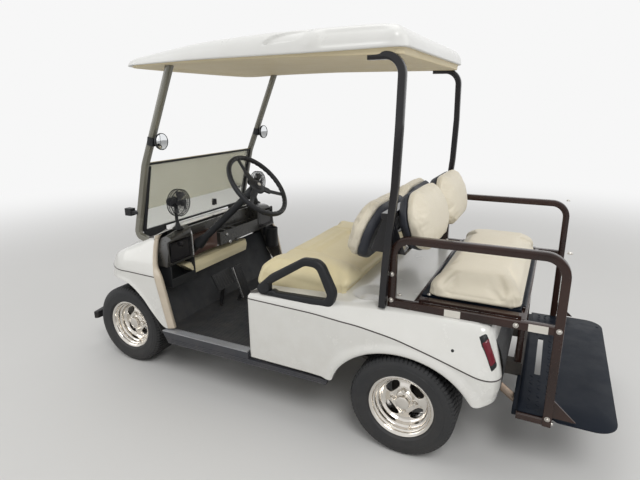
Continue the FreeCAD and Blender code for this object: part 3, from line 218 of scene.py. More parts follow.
finishes = {
    "whiteGelcoat": dict(colour=(0.74, 0.735, 0.7), other=(0.66, 0.65, 0.61), roughness=(0.16, 0.3),
        tone=(0.3, 2.2), dust=(0.3, 0.75), dustColour=(0.42, 0.37, 0.3), bump=0.06, grain=(160.0, 0.0),
        coat=(0.6, 0.12)),
    "roofWhite": dict(colour=(0.74, 0.74, 0.72), other=(0.62, 0.61, 0.57), roughness=(0.25, 0.42),
        tone=(0.35, 3.0), dust=(0.0, 0.5), bump=0.12, grain=(240.0, 0.2), coat=(0.25, 0.25)),
    "roofCream": dict(colour=(0.74, 0.64, 0.43), other=(0.64, 0.54, 0.34), roughness=(0.42, 0.6),
        tone=(0.4, 4.0), dust=(0.0, 0.5), bump=0.2, grain=(380.0, 0.5)),
    "innerShade": dict(colour=(0.09, 0.085, 0.08), roughness=(0.6, 0.85), dust=(0.5, 0.5), bump=0.3),
    "seatCream": dict(colour=(0.76, 0.67, 0.42), other=(0.68, 0.58, 0.34), roughness=(0.38, 0.55),
        tone=(0.4, 6.0), dust=(0.0, 0.5), bump=0.45, depth=0.0005, grain=(900.0, 0.75), sheen=0.12),
    "seatPale": dict(colour=(0.72, 0.66, 0.53), other=(0.64, 0.58, 0.45), roughness=(0.38, 0.55),
        tone=(0.4, 6.0), dust=(0.0, 0.5), bump=0.45, depth=0.0005, grain=(900.0, 0.75), sheen=0.12),
    "blackPlastic": dict(colour=(0.012, 0.013, 0.015), other=(0.026, 0.026, 0.027), roughness=(0.38, 0.58),
        dust=(0.2, 0.6), bump=0.35, grain=(850.0, 0.6), gloss=0.3),
    # Returned edge of the white cowl: its warm beige is painted shade on the face turned away from the light
    "shadedEdgeBeige": dict(colour=(0.62, 0.54, 0.43), other=(0.5, 0.43, 0.34), roughness=(0.3, 0.45),
        dust=(0.4, 0.8), bump=0.1, grain=(200.0, 0.4)),
    "backShell": dict(colour=(0.03, 0.033, 0.042), other=(0.045, 0.047, 0.055), roughness=(0.42, 0.6),
        dust=(0.0, 0.5), bump=0.4, grain=(700.0, 0.7), gloss=0.3),
    "dashPlastic": dict(colour=(0.022, 0.022, 0.02), other=(0.045, 0.042, 0.037), roughness=(0.2, 0.4),
        tone=(0.45, 9.0), dust=(0.0, 0.5), bump=0.3, grain=(700.0, 0.5), coat=(0.3, 0.2)),
    "glossBlack": dict(colour=(0.012, 0.012, 0.014), other=(0.03, 0.024, 0.022), roughness=(0.1, 0.24),
        tone=(0.3, 7.0), dust=(0.12, 0.7), bump=0.05, grain=(300.0, 0.4), coat=(0.25, 0.08), gloss=0.3),
    "kitEnamel": dict(colour=(0.017, 0.007, 0.005), other=(0.045, 0.018, 0.012), roughness=(0.16, 0.32),
        tone=(0.6, 5.0), dust=(0.12, 0.5), bump=0.05, grain=(300.0, 0.4), coat=(0.3, 0.1), gloss=0.3),
    # Front struts: black gloss paint given a lighter bronze colour, a painted highlight for sun glare on
    # their faces
    "strutGlareBronze": dict(colour=(0.16, 0.155, 0.125), other=(0.22, 0.21, 0.17), roughness=(0.16, 0.3),
        tone=(0.4, 6.0), dust=(0.0, 0.5), bump=0.06, grain=(200.0, 0.4), coat=(0.6, 0.1)),
    "plateBlack": dict(colour=(0.005, 0.008, 0.014), other=(0.012, 0.017, 0.027), roughness=(0.3, 0.5),
        dust=(0.03, 0.5), bump=0.15, grain=(420.0, 0.4), gloss=0.1),
    "tyreRubber": dict(colour=(0.016, 0.017, 0.019), other=(0.032, 0.031, 0.03), roughness=(0.55, 0.75),
        tone=(0.35, 12.0), dust=(0.22, 0.42), dustColour=(0.08, 0.068, 0.056), bump=0.4,
        grain=(500.0, 0.4)),
    "matRubber": dict(colour=(0.014, 0.016, 0.02), other=(0.035, 0.034, 0.033), roughness=(0.55, 0.8),
        dust=(0.55, 0.5), dustColour=(0.11, 0.1, 0.085), bump=0.4, grain=(400.0, 0.4)),
    "chrome": dict(colour=(0.78, 0.75, 0.7), other=(0.55, 0.5, 0.45), roughness=(0.06, 0.2),
        tone=(0.25, 16.0), dust=(0.18, 0.4), dustColour=(0.3, 0.25, 0.2), bump=0.03, grain=(90.0, 0.4),
        metal=1.0),
    "steelDull": dict(colour=(0.35, 0.33, 0.3), other=(0.2, 0.14, 0.1), roughness=(0.35, 0.6),
        tone=(0.6, 22.0), dust=(0.5, 0.5), bump=0.2, grain=(300.0, 0.4), metal=0.9),
    "boltZinc": dict(colour=(0.62, 0.6, 0.56), other=(0.4, 0.35, 0.3), roughness=(0.2, 0.4),
        tone=(0.4, 60.0), dust=(0.2, 0.5), bump=0.1, metal=1.0),
    "ledgeAlloy": dict(colour=(0.42, 0.43, 0.45), other=(0.3, 0.3, 0.31), roughness=(0.28, 0.45),
        tone=(0.5, 10.0), dust=(0.35, 0.5), bump=0.15, grain=(260.0, 0.4), metal=0.85),
    "rockerGrey": dict(colour=(0.028, 0.031, 0.04), other=(0.05, 0.05, 0.055), roughness=(0.4, 0.6),
        dust=(0.5, 0.36), bump=0.35, grain=(500.0, 0.4)),
    "castIron": dict(colour=(0.045, 0.04, 0.036), other=(0.11, 0.07, 0.045), roughness=(0.5, 0.75),
        tone=(0.6, 18.0), dust=(0.6, 0.5), bump=0.5, grain=(220.0, 0.4), metal=0.4),
    "chassisPaint": dict(colour=(0.022, 0.021, 0.02), other=(0.05, 0.04, 0.034), roughness=(0.45, 0.7),
        dust=(0.6, 0.5), bump=0.3, grain=(260.0, 0.4)),
    "exhaustSteel": dict(colour=(0.3, 0.24, 0.19), other=(0.16, 0.09, 0.05), roughness=(0.35, 0.65),
        tone=(0.75, 16.0), dust=(0.4, 0.5), bump=0.25, grain=(260.0, 0.4), metal=0.8),
    "dashCream": dict(colour=(0.62, 0.56, 0.38), other=(0.52, 0.46, 0.3), roughness=(0.35, 0.5),
        dust=(0.0, 0.5), bump=0.2, grain=(600.0, 0.5)),
    "recessBrown": dict(colour=(0.085, 0.045, 0.035), other=(0.05, 0.03, 0.026), roughness=(0.25, 0.45),
        dust=(0.0, 0.5), bump=0.2, grain=(500.0, 0.4)),
    "fanGrey": dict(colour=(0.06, 0.062, 0.066), roughness=(0.25, 0.4), dust=(0.0, 0.5), bump=0.05),
    "stripeBrown": dict(colour=(0.06, 0.05, 0.05), roughness=(0.25, 0.4), dust=(0.3, 0.7), bump=0.02),
    "plateBlank": dict(colour=(0.72, 0.69, 0.62), roughness=(0.3, 0.45), dust=(0.1, 0.5), bump=0.05),
    "silverPaint": dict(colour=(0.5, 0.5, 0.5), roughness=(0.2, 0.35), dust=(0.0, 0.5), bump=0.05,
        metal=0.9),
    "mirrorFace": dict(colour=(0.86, 0.88, 0.9), other=(0.8, 0.82, 0.84), roughness=(0.02, 0.05),
        tone=(0.1, 5.0), dust=(0.0, 0.5), bump=0.0, metal=1.0),
}
finish = {name: makeFinish(name, **look) for name, look in finishes.items()}
print("finishes made")


def makeGlass(name, colour, roughness, clear, ior):
    # Clear sheet: plain transmission, tint through the base colour and fine dust in the roughness
    material, tree, shader, place = newMaterial(name)
    tone = groupNode(tree, toneGroup, place, {
            "Base": (*colour, 1), "Other": (*[c * 0.9 for c in colour], 1), "Scale": 3.0, "Amount": 0.4})
    join(tree, (tone, "Color", shader, "Base Color"))
    rough = addNode(tree, "MapRange", {"From Max": 0.4, "To Min": roughness[0], "To Max": roughness[1]})
    join(tree, (tone, "Mask", rough, "Value"), (rough, "Result", shader, "Roughness"))
    shader.inputs["Transmission Weight"].default_value = clear
    shader.inputs["IOR"].default_value = ior
    return material


glasses = {"tintedSheet": ((0.95, 0.96, 0.92), (0.02, 0.1), 0.88, 1.1),
    "hazySheet": ((0.90, 0.88, 0.78), (0.1, 0.25), 0.6, 1.1),
    "lampRed": ((0.16, 0.006, 0.018), (0.05, 0.15), 0.1, 1.45),
    "lampClear": ((0.85, 0.86, 0.86), (0.03, 0.1), 0.6, 1.45)}
for name, values in glasses.items():
    finish[name] = makeGlass(name, *values)


# Meshes from whole arrays
def gridFaces(rows, columns, wrapRows=False, wrapColumns=False):
    # Quads between neighbouring rows and columns of a grid; the last joins the first where it wraps
    i, j = np.meshgrid(np.arange(rows - (not wrapRows)), np.arange(columns - (not wrapColumns)),
        indexing="ij")
    nextI, nextJ = (i + 1) % rows, (j + 1) % columns
    quads = np.stack([i * columns + j, i * columns + nextJ, nextI * columns + nextJ, nextI * columns + j],
        -1)
    return quads.reshape(-1, 4)


def surface(points, wrapRows=False, wrapColumns=False, caps=()):
    # A grid of points (rows, columns, 3) as a part of points and faces; caps closes an end row flat
    rows, columns = points.shape[:2]
    faces = [list(face) for face in gridFaces(rows, columns, wrapRows, wrapColumns).tolist()]
    if "first" in caps:
        faces.append(list(range(columns))[::-1])
    if "last" in caps:
        faces.append(list(range((rows - 1) * columns, rows * columns)))
    return points.reshape(-1, 3), faces


def mirrorPart(part):
    # The same part on the other side of the cart, with its faces turned so that they still point outwards
    points, faces = part
    return points * np.array([1, -1, 1]), [face[::-1] for face in faces]


def bothSides(parts):
    return list(parts) + [mirrorPart(part) for part in parts]


def makePiece(name, parts, look, body="chassis", replaces=(), outward=True, sharp=40, thick=0,
        insideLook=None, bevel=0, weld=True):
    # Joins parts given in cart millimetres into one mesh with faces outwards, a finish and a body
    offset, allPoints, allFaces = 0, [], []
    for points, faces in parts:
        allPoints.append(points)
        allFaces += [[index + offset for index in face] for face in faces]
        offset += len(points)
    mesh = bpy.data.meshes.new(name)
    mesh.from_pydata(cart(np.concatenate(allPoints)).tolist(), [], allFaces)
    shape = bmesh.new()
    shape.from_mesh(mesh)
    if weld:
        bmesh.ops.remove_doubles(shape, verts=shape.verts, dist=1e-6)
        bmesh.ops.dissolve_degenerate(shape, edges=shape.edges, dist=1e-7)
    if outward:
        bmesh.ops.recalc_face_normals(shape, faces=shape.faces)
    shape.to_mesh(mesh)
    shape.free()
    mesh.polygons.foreach_set("use_smooth", np.ones(len(mesh.polygons), bool))
    mesh.set_sharp_from_angle(angle=math.radians(sharp))
    piece = bpy.data.objects.new(name, mesh)
    scene.collection.objects.link(piece)
    mesh.materials.append(finish[look])
    if bevel:
        edge = piece.modifiers.new("bevel", "BEVEL")
        edge.width, edge.segments, edge.limit_method, edge.angle_limit = bevel, 2, "ANGLE", math.radians(35)
        edge.harden_normals = False
    if thick:
        wall = piece.modifiers.new("wall", "SOLIDIFY")
        wall.thickness, wall.offset = thick, -1
        if insideLook:
            mesh.materials.append(finish[insideLook])
            wall.material_offset = 1
    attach(piece, body)
    if replaces:
        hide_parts(*replaces)
    return piece


def facing(part, centre):
    # An open part with its faces turned so that most of them look away from centre
    points, faces = part
    corners = points[np.array([face[:3] for face in faces])]
    normals = np.cross(corners[:, 1] - corners[:, 0], corners[:, 2] - corners[:, 0])
    outward = ((corners.mean(1) - np.asarray(centre)) * normals).sum()
    return part if outward > 0 else (points, [face[::-1] for face in faces])


def roundedLine(corners, closed=False, steps=7):
    # Straight runs with an arc at each corner (x, y, ..., radius); the arc is cut into steps
    corners = np.asarray(corners, float)
    points, radii = corners[:, :-1], corners[:, -1]
    out = []
    for index in range(len(points)):
        if radii[index] <= 0 or (not closed and index in (0, len(points) - 1)):
            out.append(points[index][None])
            continue
        inward = points[index - 1] - points[index]
        onward = points[(index + 1) % len(points)] - points[index]
        inward, onward = inward / np.linalg.norm(inward), onward / np.linalg.norm(onward)
        half = np.arccos(np.clip(inward @ onward, -1, 1)) / 2
        middle = (inward + onward) / np.linalg.norm(inward + onward)
        centre = points[index] + middle * radii[index] / np.sin(half)
        across = (onward - inward) / np.linalg.norm(onward - inward)
        sweepAngle = np.linspace(-(np.pi / 2 - half), np.pi / 2 - half, steps + 1)[:, None]
        out.append(centre - middle * radii[index] * np.cos(sweepAngle) + across * radii[index]
            * np.sin(sweepAngle))
    return np.concatenate(out)


def evenly(line, count, closed=False):
    # The line resampled at even distances along itself
    line = np.concatenate([line, line[:1]]) if closed else line
    reach = np.concatenate([[0], np.cumsum(np.linalg.norm(np.diff(line, axis=0), axis=1))])
    places = np.linspace(0, reach[-1], count, endpoint=not closed)
    return np.stack([np.interp(places, reach, line[:, k]) for k in range(line.shape[1])], 1)


def around(steps):
    # Angles of one whole turn
    return np.linspace(0, 2 * np.pi, steps, endpoint=False)


def circle(radius, steps=16):
    turn = around(steps)
    return np.stack([np.cos(turn), np.sin(turn)], 1) * radius


def squareRing(width, depth, radius, steps=4):
    half, deep = width / 2, depth / 2
    corners = [(-half, -deep, radius), (half, -deep, radius), (half, deep, radius), (-half, deep, radius)]
    return roundedLine(corners, True, steps)


def sweep(path, ring, across=(0, 1, 0), closed=False, sizes=None):
    # Ring carried along a path: path + u * side + v * up, with side being across made square to the path
    path, across = np.asarray(path, float), np.asarray(across, float)
    if closed:
        runs = np.diff(np.concatenate([path[-1:], path, path[:1]]), axis=0)
    else:
        runs = np.diff(np.concatenate([2 * path[:1] - path[1:2], path, 2 * path[-1:] - path[-2:-1]]), axis=0)
    runs = runs / np.maximum(np.linalg.norm(runs, axis=1, keepdims=True), 1e-12)
    along = runs[:-1] + runs[1:]
    along /= np.linalg.norm(along, axis=1, keepdims=True)
    side = across - along * (along @ across)[:, None]
    side /= np.linalg.norm(side, axis=1, keepdims=True)
    up = np.cross(along, side)
    sizes = np.ones(len(path)) if sizes is None else np.asarray(sizes)
    points = path[:, None] + sizes[:, None, None] * (
        side[:, None] * ring[None, :, :1] + up[:, None] * ring[None, :, 1:2])
    return surface(points, closed, True, () if closed else ("first", "last"))


def tube(corners, bend, radius, across=(0, 1, 0), ring=None, steps=8):
    corners = np.asarray(corners, float)
    bends = np.full((len(corners), 1), float(bend)) if np.isscalar(bend) else np.asarray(bend, float)[:,
        None]
    path = roundedLine(np.concatenate([corners, bends], 1), False, steps)
    return sweep(path, circle(radius) if ring is None else ring, across)


def axes(direction):
    # Two directions square to the given one
    direction = np.asarray(direction, float) / np.linalg.norm(direction)
    helper = np.array([0, 0, 1.0]) if abs(direction[2]) < 0.9 else np.array([1.0, 0, 0])
    first = np.cross(direction, helper)
    first /= np.linalg.norm(first)
    return direction, first, np.cross(direction, first)


def turned(profile, centre, axis, steps=48, shape=None):
    # Profile (radius, along) turned about the axis: point = centre + axis * along + radius * (cos, sin)
    axis, first, second = axes(axis)
    profile = np.asarray(profile, float)
    turn = around(steps)[:, None]
    radius, along = profile[None, :, 0], np.repeat(profile[None, :, 1], steps, 0)
    if shape is not None:
        radius, along = shape(np.repeat(radius, steps, 0), along, turn)
    points = (np.asarray(centre) + along[..., None] * axis
        + (radius * np.cos(turn))[..., None] * first + (radius * np.sin(turn))[..., None] * second)
    return surface(points, True, False)


def block(low, high, turn=None, about=None):
    # A plain block between two corners, turned about a point if a matrix is given; the bevel comes later
    low, high = np.asarray(low, float), np.asarray(high, float)
    signs = np.array([(x, y, z) for x in (0, 1) for y in (0, 1) for z in (0, 1)])
    points = low + (high - low) * signs
    if turn is not None:
        about = (low + high) / 2 if about is None else np.asarray(about)
        points = (points - about) @ np.asarray(turn).T + about
    faces = [[0, 1, 3, 2], [4, 6, 7, 5], [0, 4, 5, 1], [2, 3, 7, 6], [0, 2, 6, 4], [1, 5, 7, 3]]
    return points, faces


def eased(columns, at, spread):
    # Table of rows (place, value, ...) read at places, with its corners rounded by a running mean
    columns = np.asarray(columns, float)
    first, last = columns[0, 0], columns[-1, 0]
    fine = np.linspace(first - 3 * spread, last + 3 * spread, 3000)
    step = fine[1] - fine[0]
    kernel = np.exp(-0.5 * (np.arange(-3 * spread, 3 * spread + step, step) / spread) ** 2)
    kernel /= kernel.sum()
    values = []
    for k in range(1, columns.shape[1]):
        raw = np.interp(fine, columns[:, 0], columns[:, k])
        pad = len(kernel) // 2
        soft = np.convolve(np.pad(raw, pad, mode="edge"), kernel, mode="valid")[:len(fine)]
        values.append(np.interp(at, fine, soft))
    return values[0] if len(values) == 1 else values


def splineRows(count, samples):
    # Weights of a clamped cubic B-spline: samples rows by count control rows
    inner = np.linspace(0, 1, count - 2)
    knots = np.concatenate([[0, 0, 0], inner, [1, 1, 1]])
    place = np.linspace(0, 1, samples)
    place[-1] = 1 - 1e-9
    weights = ((place[:, None] >= knots[:-1]) & (place[:, None] < knots[1:])).astype(float)
    for degree in (1, 2, 3):
        length = len(knots) - 1 - degree
        start, end = knots[:length], knots[degree + 1:degree + 1 + length]
        left = np.where(knots[degree:degree + length] > start, knots[degree:degree + length] - start, 1)
        right = np.where(end > knots[1:1 + length], end - knots[1:1 + length], 1)
        rising = np.where(knots[degree:degree + length] > start, (place[:, None] - start) / left, 0)
        falling = np.where(end > knots[1:1 + length], (end - place[:, None]) / right, 0)
        weights = rising * weights[:, :length] + falling * weights[:, 1:1 + length]
    return weights


def skin(rows, samples):
    # Surface through control curves (count, n, 3) by a cubic B-spline across them: (n, samples, 3)
    rows = np.asarray(rows)
    return np.einsum("sk,kni->nsi", splineRows(len(rows), samples), rows)


def softStep(value, low, high):
    share = np.clip((value - low) / (high - low), 0, 1)
    return share * share * (3 - 2 * share)


def planOf(corners, closed=False):
    # A plan outline as a reader of its points by distance along it, inset and height, and its length
    line = roundedLine(corners, closed, 24)
    line = evenly(line, 1600, closed)
    if closed:
        line = np.concatenate([line, line[:1]])
    reach = np.concatenate([[0], np.cumsum(np.linalg.norm(np.diff(line, axis=0), axis=1))])
    slope = np.gradient(line, axis=0)
    if closed:
        slope[0] = slope[-1] = line[1] - line[-2]
    slope /= np.linalg.norm(slope, axis=1, keepdims=True)
    inward = np.stack([-slope[:, 1], slope[:, 0]], 1)

    def place(distance, inset, height):
        distance, inset, height = np.broadcast_arrays(distance, inset, height)
        along = [np.interp(distance, reach, line[:, k]) for k in (0, 1)]
        normal = [np.interp(distance, reach, inward[:, k]) for k in (0, 1)]
        return np.stack([along[0] + normal[0] * inset, along[1] + normal[1] * inset, height], -1)
    return place, reach[-1]


# Camera, floor, backdrop and studio lights
makeCamera(photoView)
scene.view_settings.view_transform = "Standard"
studio = {"floorSize": 60.0, "floorColour": (0.66, 0.655, 0.64), "skyLight": 0.5, "backdrop": 0.93,
    "fade": (2.2, 8.0), "lamps": [("keyLamp", (-3.2, 4.2, 6.0), 3.4, 215), ("fillLamp", (-5.5, -1.5, 3.2),
            4.5, 55),
        ("frontLamp", (5.0, 3.0, 3.4), 4.0, 55), ("topLamp", (0.5, -1.0, 7.0), 5.0, 80)]}


def makeFloor(look):
    # A flat square; its finish is pale with faint mottling
    half = look["floorSize"] / 2
    mesh = bpy.data.meshes.new("floor")
    mesh.from_pydata([(-half, -half, 0), (half, -half, 0), (half, half, 0), (-half, half, 0)], [],
        [(0, 1, 2, 3)])
    floor = bpy.data.objects.new("floor", mesh)
    scene.collection.objects.link(floor)
    material, tree, shader, place = newMaterial("floorPale")
    colour = look["floorColour"]
    tone = groupNode(tree, toneGroup, place, {"Base": (*colour, 1), "Other": (*[c * 0.97 for c in colour],
                1),
            "Scale": 0.8, "Amount": 0.6})
    join(tree, (tone, "Color", shader, "Base Color"))
    shader.inputs["Roughness"].default_value = 0.85
    length = addNode(tree, "VectorMath", operation="LENGTH")
    join(tree, (place, "Object", length, 0))
    fade = addNode(tree, "MapRange", {"From Min": look["fade"][0], "From Max": look["fade"][1]},
        interpolation_type="SMOOTHERSTEP")
    join(tree, (length, "Value", fade, "Value"))
    path = addNode(tree, "LightPath")
    seen = addNode(tree, "Math", operation="MULTIPLY")
    join(tree, (fade, "Result", seen, 0), (path, "Is Camera Ray", seen, 1))
    glow = addNode(tree, "Emission", {"Color": (1, 1, 1, 1), "Strength": look["backdrop"]})
    mix = addNode(tree, "MixShader")
    join(tree, (seen, 0, mix, "Fac"), (shader, 0, mix, 1), (glow, 0, mix, 2),
        (mix, 0, tree.nodes["Material Output"], "Surface"))
    mesh.materials.append(material)


def makeSky(look):
    # Even light on the object; camera, mirror and glass rays see the pale backdrop instead
    world = bpy.data.worlds.new("studio")
    scene.world = world
    world.use_nodes = True
    tree = world.node_tree
    tree.nodes.clear()
    out = addNode(tree, "OutputWorld")
    light = addNode(tree, "Background", {"Color": (1, 1, 1, 1), "Strength": look["skyLight"]})
    seen = addNode(tree, "Background", {"Color": (1, 1, 1, 1), "Strength": look["backdrop"]})
    path = addNode(tree, "LightPath")
    either = addNode(tree, "Math", operation="MAXIMUM")
    anyRay = addNode(tree, "Math", operation="MAXIMUM")
    mix = addNode(tree, "MixShader")
    join(tree, (path, "Is Camera Ray", either, 0), (path, "Is Glossy Ray", either, 1),
        (either, 0, anyRay, 0), (path, "Is Transmission Ray", anyRay, 1), (anyRay, 0, mix, "Fac"),
        (light, 0, mix, 1), (seen, 0, mix, 2), (mix, 0, out, "Surface"))


def makeLamps(look):
    for name, place, size, power in look["lamps"]:
        data = bpy.data.lights.new(name, "AREA")
        data.shape, data.size, data.energy = "DISK", size, power
        lamp = bpy.data.objects.new(name, data)
        aim = Vector((0, 0, 0.8)) - Vector(place)
        lamp.matrix_world = Matrix.Translation(place) @ aim.to_track_quat("-Z", "Y").to_matrix().to_4x4()
        scene.collection.objects.link(lamp)


makeFloor(studio)
makeSky(studio)
makeLamps(studio)
print("camera and studio made")


# Roof: rows of inset and height round the plan, lowered towards both ends, with scoops along the sides
roof = {"corners": [(50, -552, 62), (1470, -555, 110), (1496, -250, 400), (1496, 250, 400), (1470, 555, 110),
        (50, 552, 62)],
    "rim": [(20, 1663), (400, 1658), (1000, 1658), (1400, 1650), (1496, 1647)],
    "share": [(0, 0.62), (20, 0.70), (150, 0.90), (400, 0.93), (700, 0.91), (1000, 0.78), (1230, 0.56),
        (1400, 0.36), (1496, 0.25)],
    "rows": [(4, 0), (0, 3), (0, 10), (3, 40), (11, 66), (32, 92), (60, 103)], "scoop": 15, "panel": 9,
    "samples": 620, "spine": (330, 1180)}


def roundedSheet(plan, count, rows, spine, shares, samples, offset=60):
    # Insets and heights near the edge, then shares of the way to a middle line; a spline runs across them
    place, reach = plan
    distance = np.linspace(0, reach, count, endpoint=False)
    inner = place(distance, offset, 0)
    middle = np.stack([np.clip(inner[:, 0], *spine), 0 * distance, 0 * distance], 1)
    controls = [place(distance, inset, height) for inset, height in rows]
    for share, height in shares:
        controls.append(inner * (1 - share) + middle * share + np.array([0, 0, height]))
    return skin(controls, samples)


def makeRoof(look):
    plan = planOf(look["corners"], True)
    shell = roundedSheet(plan, look["samples"], look["rows"], look["spine"],
        [(0.1, 109), (0.25, 114), (0.55, 117.5), (0.8, 118), (1, 118)], 54)
    x, y, rise = shell[..., 0], np.abs(shell[..., 1]), shell[..., 2]
    # Front scoop: under an arc from low in front to high behind, over a level line
    arc = np.interp(x, [472, 520, 570, 617, 650, 672], [104, 101, 96, 84, 60, 30])
    sill = np.interp(x, [425, 447, 480, 523, 600, 672], [110, 100, 66, 50, 48, 42])
    inside = np.minimum(arc - rise, rise - sill)
    side = softStep(y, 380, 440)
    scoop = softStep(inside, -1, 9) * softStep(x, 425, 470) * (1 - softStep(x, 655, 676)) * side
    # Long shallow panel behind it, ending at a ridge near the rear corner
    level = softStep(rise, 12, 30) * (1 - softStep(rise, 76, 96))
    panel = softStep(x, 95, 150) * (1 - softStep(x, 372, 408)) * level * side
    corner = np.exp(-((x - 84) / 26) ** 2) * softStep(rise, 20, 60) * side * 5
    ridge = np.exp(-((x - 424 - (80 - rise) * 0.35) / 22) ** 2) * softStep(rise, 8, 40)
    ridge = ridge * (1 - softStep(rise, 84, 104)) * side * 4
    depth = look["scoop"] * scoop + look["panel"] * panel - corner - ridge
    shell[..., 1] -= np.sign(shell[..., 1]) * depth * 0.8
    shell[..., 2] -= depth * 0.35
    share = eased(look["share"], shell[..., 0], 45)
    rim = eased(look["rim"], shell[..., 0], 60)
    shell[..., 2] = np.minimum(shell[..., 2] * share + rim, 1767.5)
    under = roundedSheet(plan, look["samples"], [(4, 0), (18, 0), (22, 8)], look["spine"],
        [(0.3, 10), (1, 10)], 10)
    under[..., 2] += eased(look["rim"], under[..., 0], 60)
    makePiece("roof_shell", [surface(shell, True), surface(under, True)], "roofWhite",
        replaces=["roof"])


def makeLiner(look):
    # Cream tray under the roof: short side wall, level ceiling with a raised middle panel
    plan = planOf(look["corners"], True)
    low = roundedSheet(plan, 300, [(14, 30), (18, 30), (18, 2), (22, 0), (40, 0)], look["spine"],
        [(0.14, 0), (0.18, 1), (0.24, 6), (0.3, 7), (0.6, 7.5), (1, 7.5)], 60)
    base = eased([(20, 1636), (400, 1644), (800, 1652), (1200, 1650), (1496, 1641)], low[..., 0], 60)
    low[..., 2] = low[..., 2] * np.where(low[..., 2] > 16, 0.9, 1) + base
    low[..., 2] = np.minimum(low[..., 2], eased(look["rim"], low[..., 0], 60) + 6)
    top = roundedSheet(plan, 300, [(14, 6), (40, 6)], look["spine"], [(0.5, 6), (1, 6)], 8)
    top[..., 2] += eased(look["rim"], top[..., 0], 60)
    makePiece("roof_liner_tray", [surface(low, True), surface(top, True)], "roofCream",
        replaces=["roof_liner"])


makeRoof(roof)
makeLiner(roof)
print("roof made")


# Rear body: a wall with arches below the crease, then shoulder and deck; distances run from the front middle
# Its front end, and the distance along the plan at which the side begins
rearFront, rearSide = 762, 599
rearBody = {"plan": [(rearFront, 0, 0), (rearFront, 606, 16), (420, 614, 400), (260, 628, 300),
        (-380, 628, 100), (-380, 0, 0)],
    "arch": (4, 230, 314, 251), "low": 285, "flare": 10, "samples": 330, "wall": 5,
    "bowl": (208, 420, 88, 24)}
rearPlan, rearReach = planOf(rearBody["plan"])


def rearAlong(x):
    return rearSide + (rearFront - np.asarray(x, float))


def rearX(distance):
    return rearFront - (distance - rearSide)


cornerMid, backStart = rearAlong(-280) + 78, rearAlong(-280) + 157
rearCrease = [(0, 589), (rearSide, 589), (rearAlong(378), 582), (rearAlong(198), 574), (rearAlong(30), 549),
    (rearAlong(-129), 506), (rearAlong(-279), 460), (cornerMid, 438), (backStart, 431), (rearReach, 430)]
rearShoulder = [(0, 6, 606), (rearSide, 6, 606), (rearAlong(378), 12, 618), (rearAlong(198), 40, 625),
    (rearAlong(30), 45, 610), (rearAlong(-129), 45, 590), (rearAlong(-279), 40, 560), (cornerMid, 32, 558),
    (backStart, 26, 560), (rearReach, 25, 560)]
rearDeck = [(0, 26, 620), (rearSide, 26, 620), (rearAlong(378), 40, 636), (rearAlong(198), 85, 644),
    (rearAlong(30), 90, 644), (rearAlong(-279), 90, 644), (cornerMid, 82, 641), (backStart, 72, 640),
    (rearReach, 70, 640)]


def rearEdge(distance):
    # Height of the lower edge: level, then the arch ellipse, then level again at the tail
    x = rearX(distance)
    cx, cz, rx, rz = rearBody["arch"]
    arch = cz + rz * np.sqrt(np.clip(1 - ((x - cx) / rx) ** 2, 0, 1))
    base = np.where(x > cx, rearBody["low"], 330)
    onSide = (distance > rearSide) & (np.abs(x - cx) < rx)
    tail = 12 * np.logaddexp(arch / 12, base / 12)
    return np.where(onSide, np.where(x < cx, tail, np.maximum(arch, base)), base)


def rearWall(distance, z):
    # Inset of the wall: the tail is barrel shaped, the side is straight with a flare round the arch
    x = rearX(distance)
    cx, cz, rx, rz = rearBody["arch"]
    away = (np.sqrt(((x - cx) / rx) ** 2 + ((z - cz) / rz) ** 2) - 1) * (rx + rz) / 2
    flare = rearBody["flare"] * (softStep(away, -8, 10) - softStep(away, 14, 52)) * (distance > rearSide)
    flare = flare * softStep(away, -200, -20)
    tail = np.interp(z, [300, 335, 380, 430, 478, 534, 655], [42, 13, 3, 0, 0, 15, 71])
    return tail * softStep(distance, rearAlong(-240), backStart) - flare


def pickPlaces(edge, reach, count):
    # Distances spaced evenly along the lower edge's own length
    fine = np.linspace(0, reach, 6000)
    rise = np.abs(np.gradient(edge(fine), fine))
    weight = np.sqrt(1 + np.minimum(rise, 12) ** 2)
    total = np.concatenate([[0], np.cumsum((weight[1:] + weight[:-1]) / 2)])
    return np.interp(np.linspace(0, total[-1], count), total, fine)


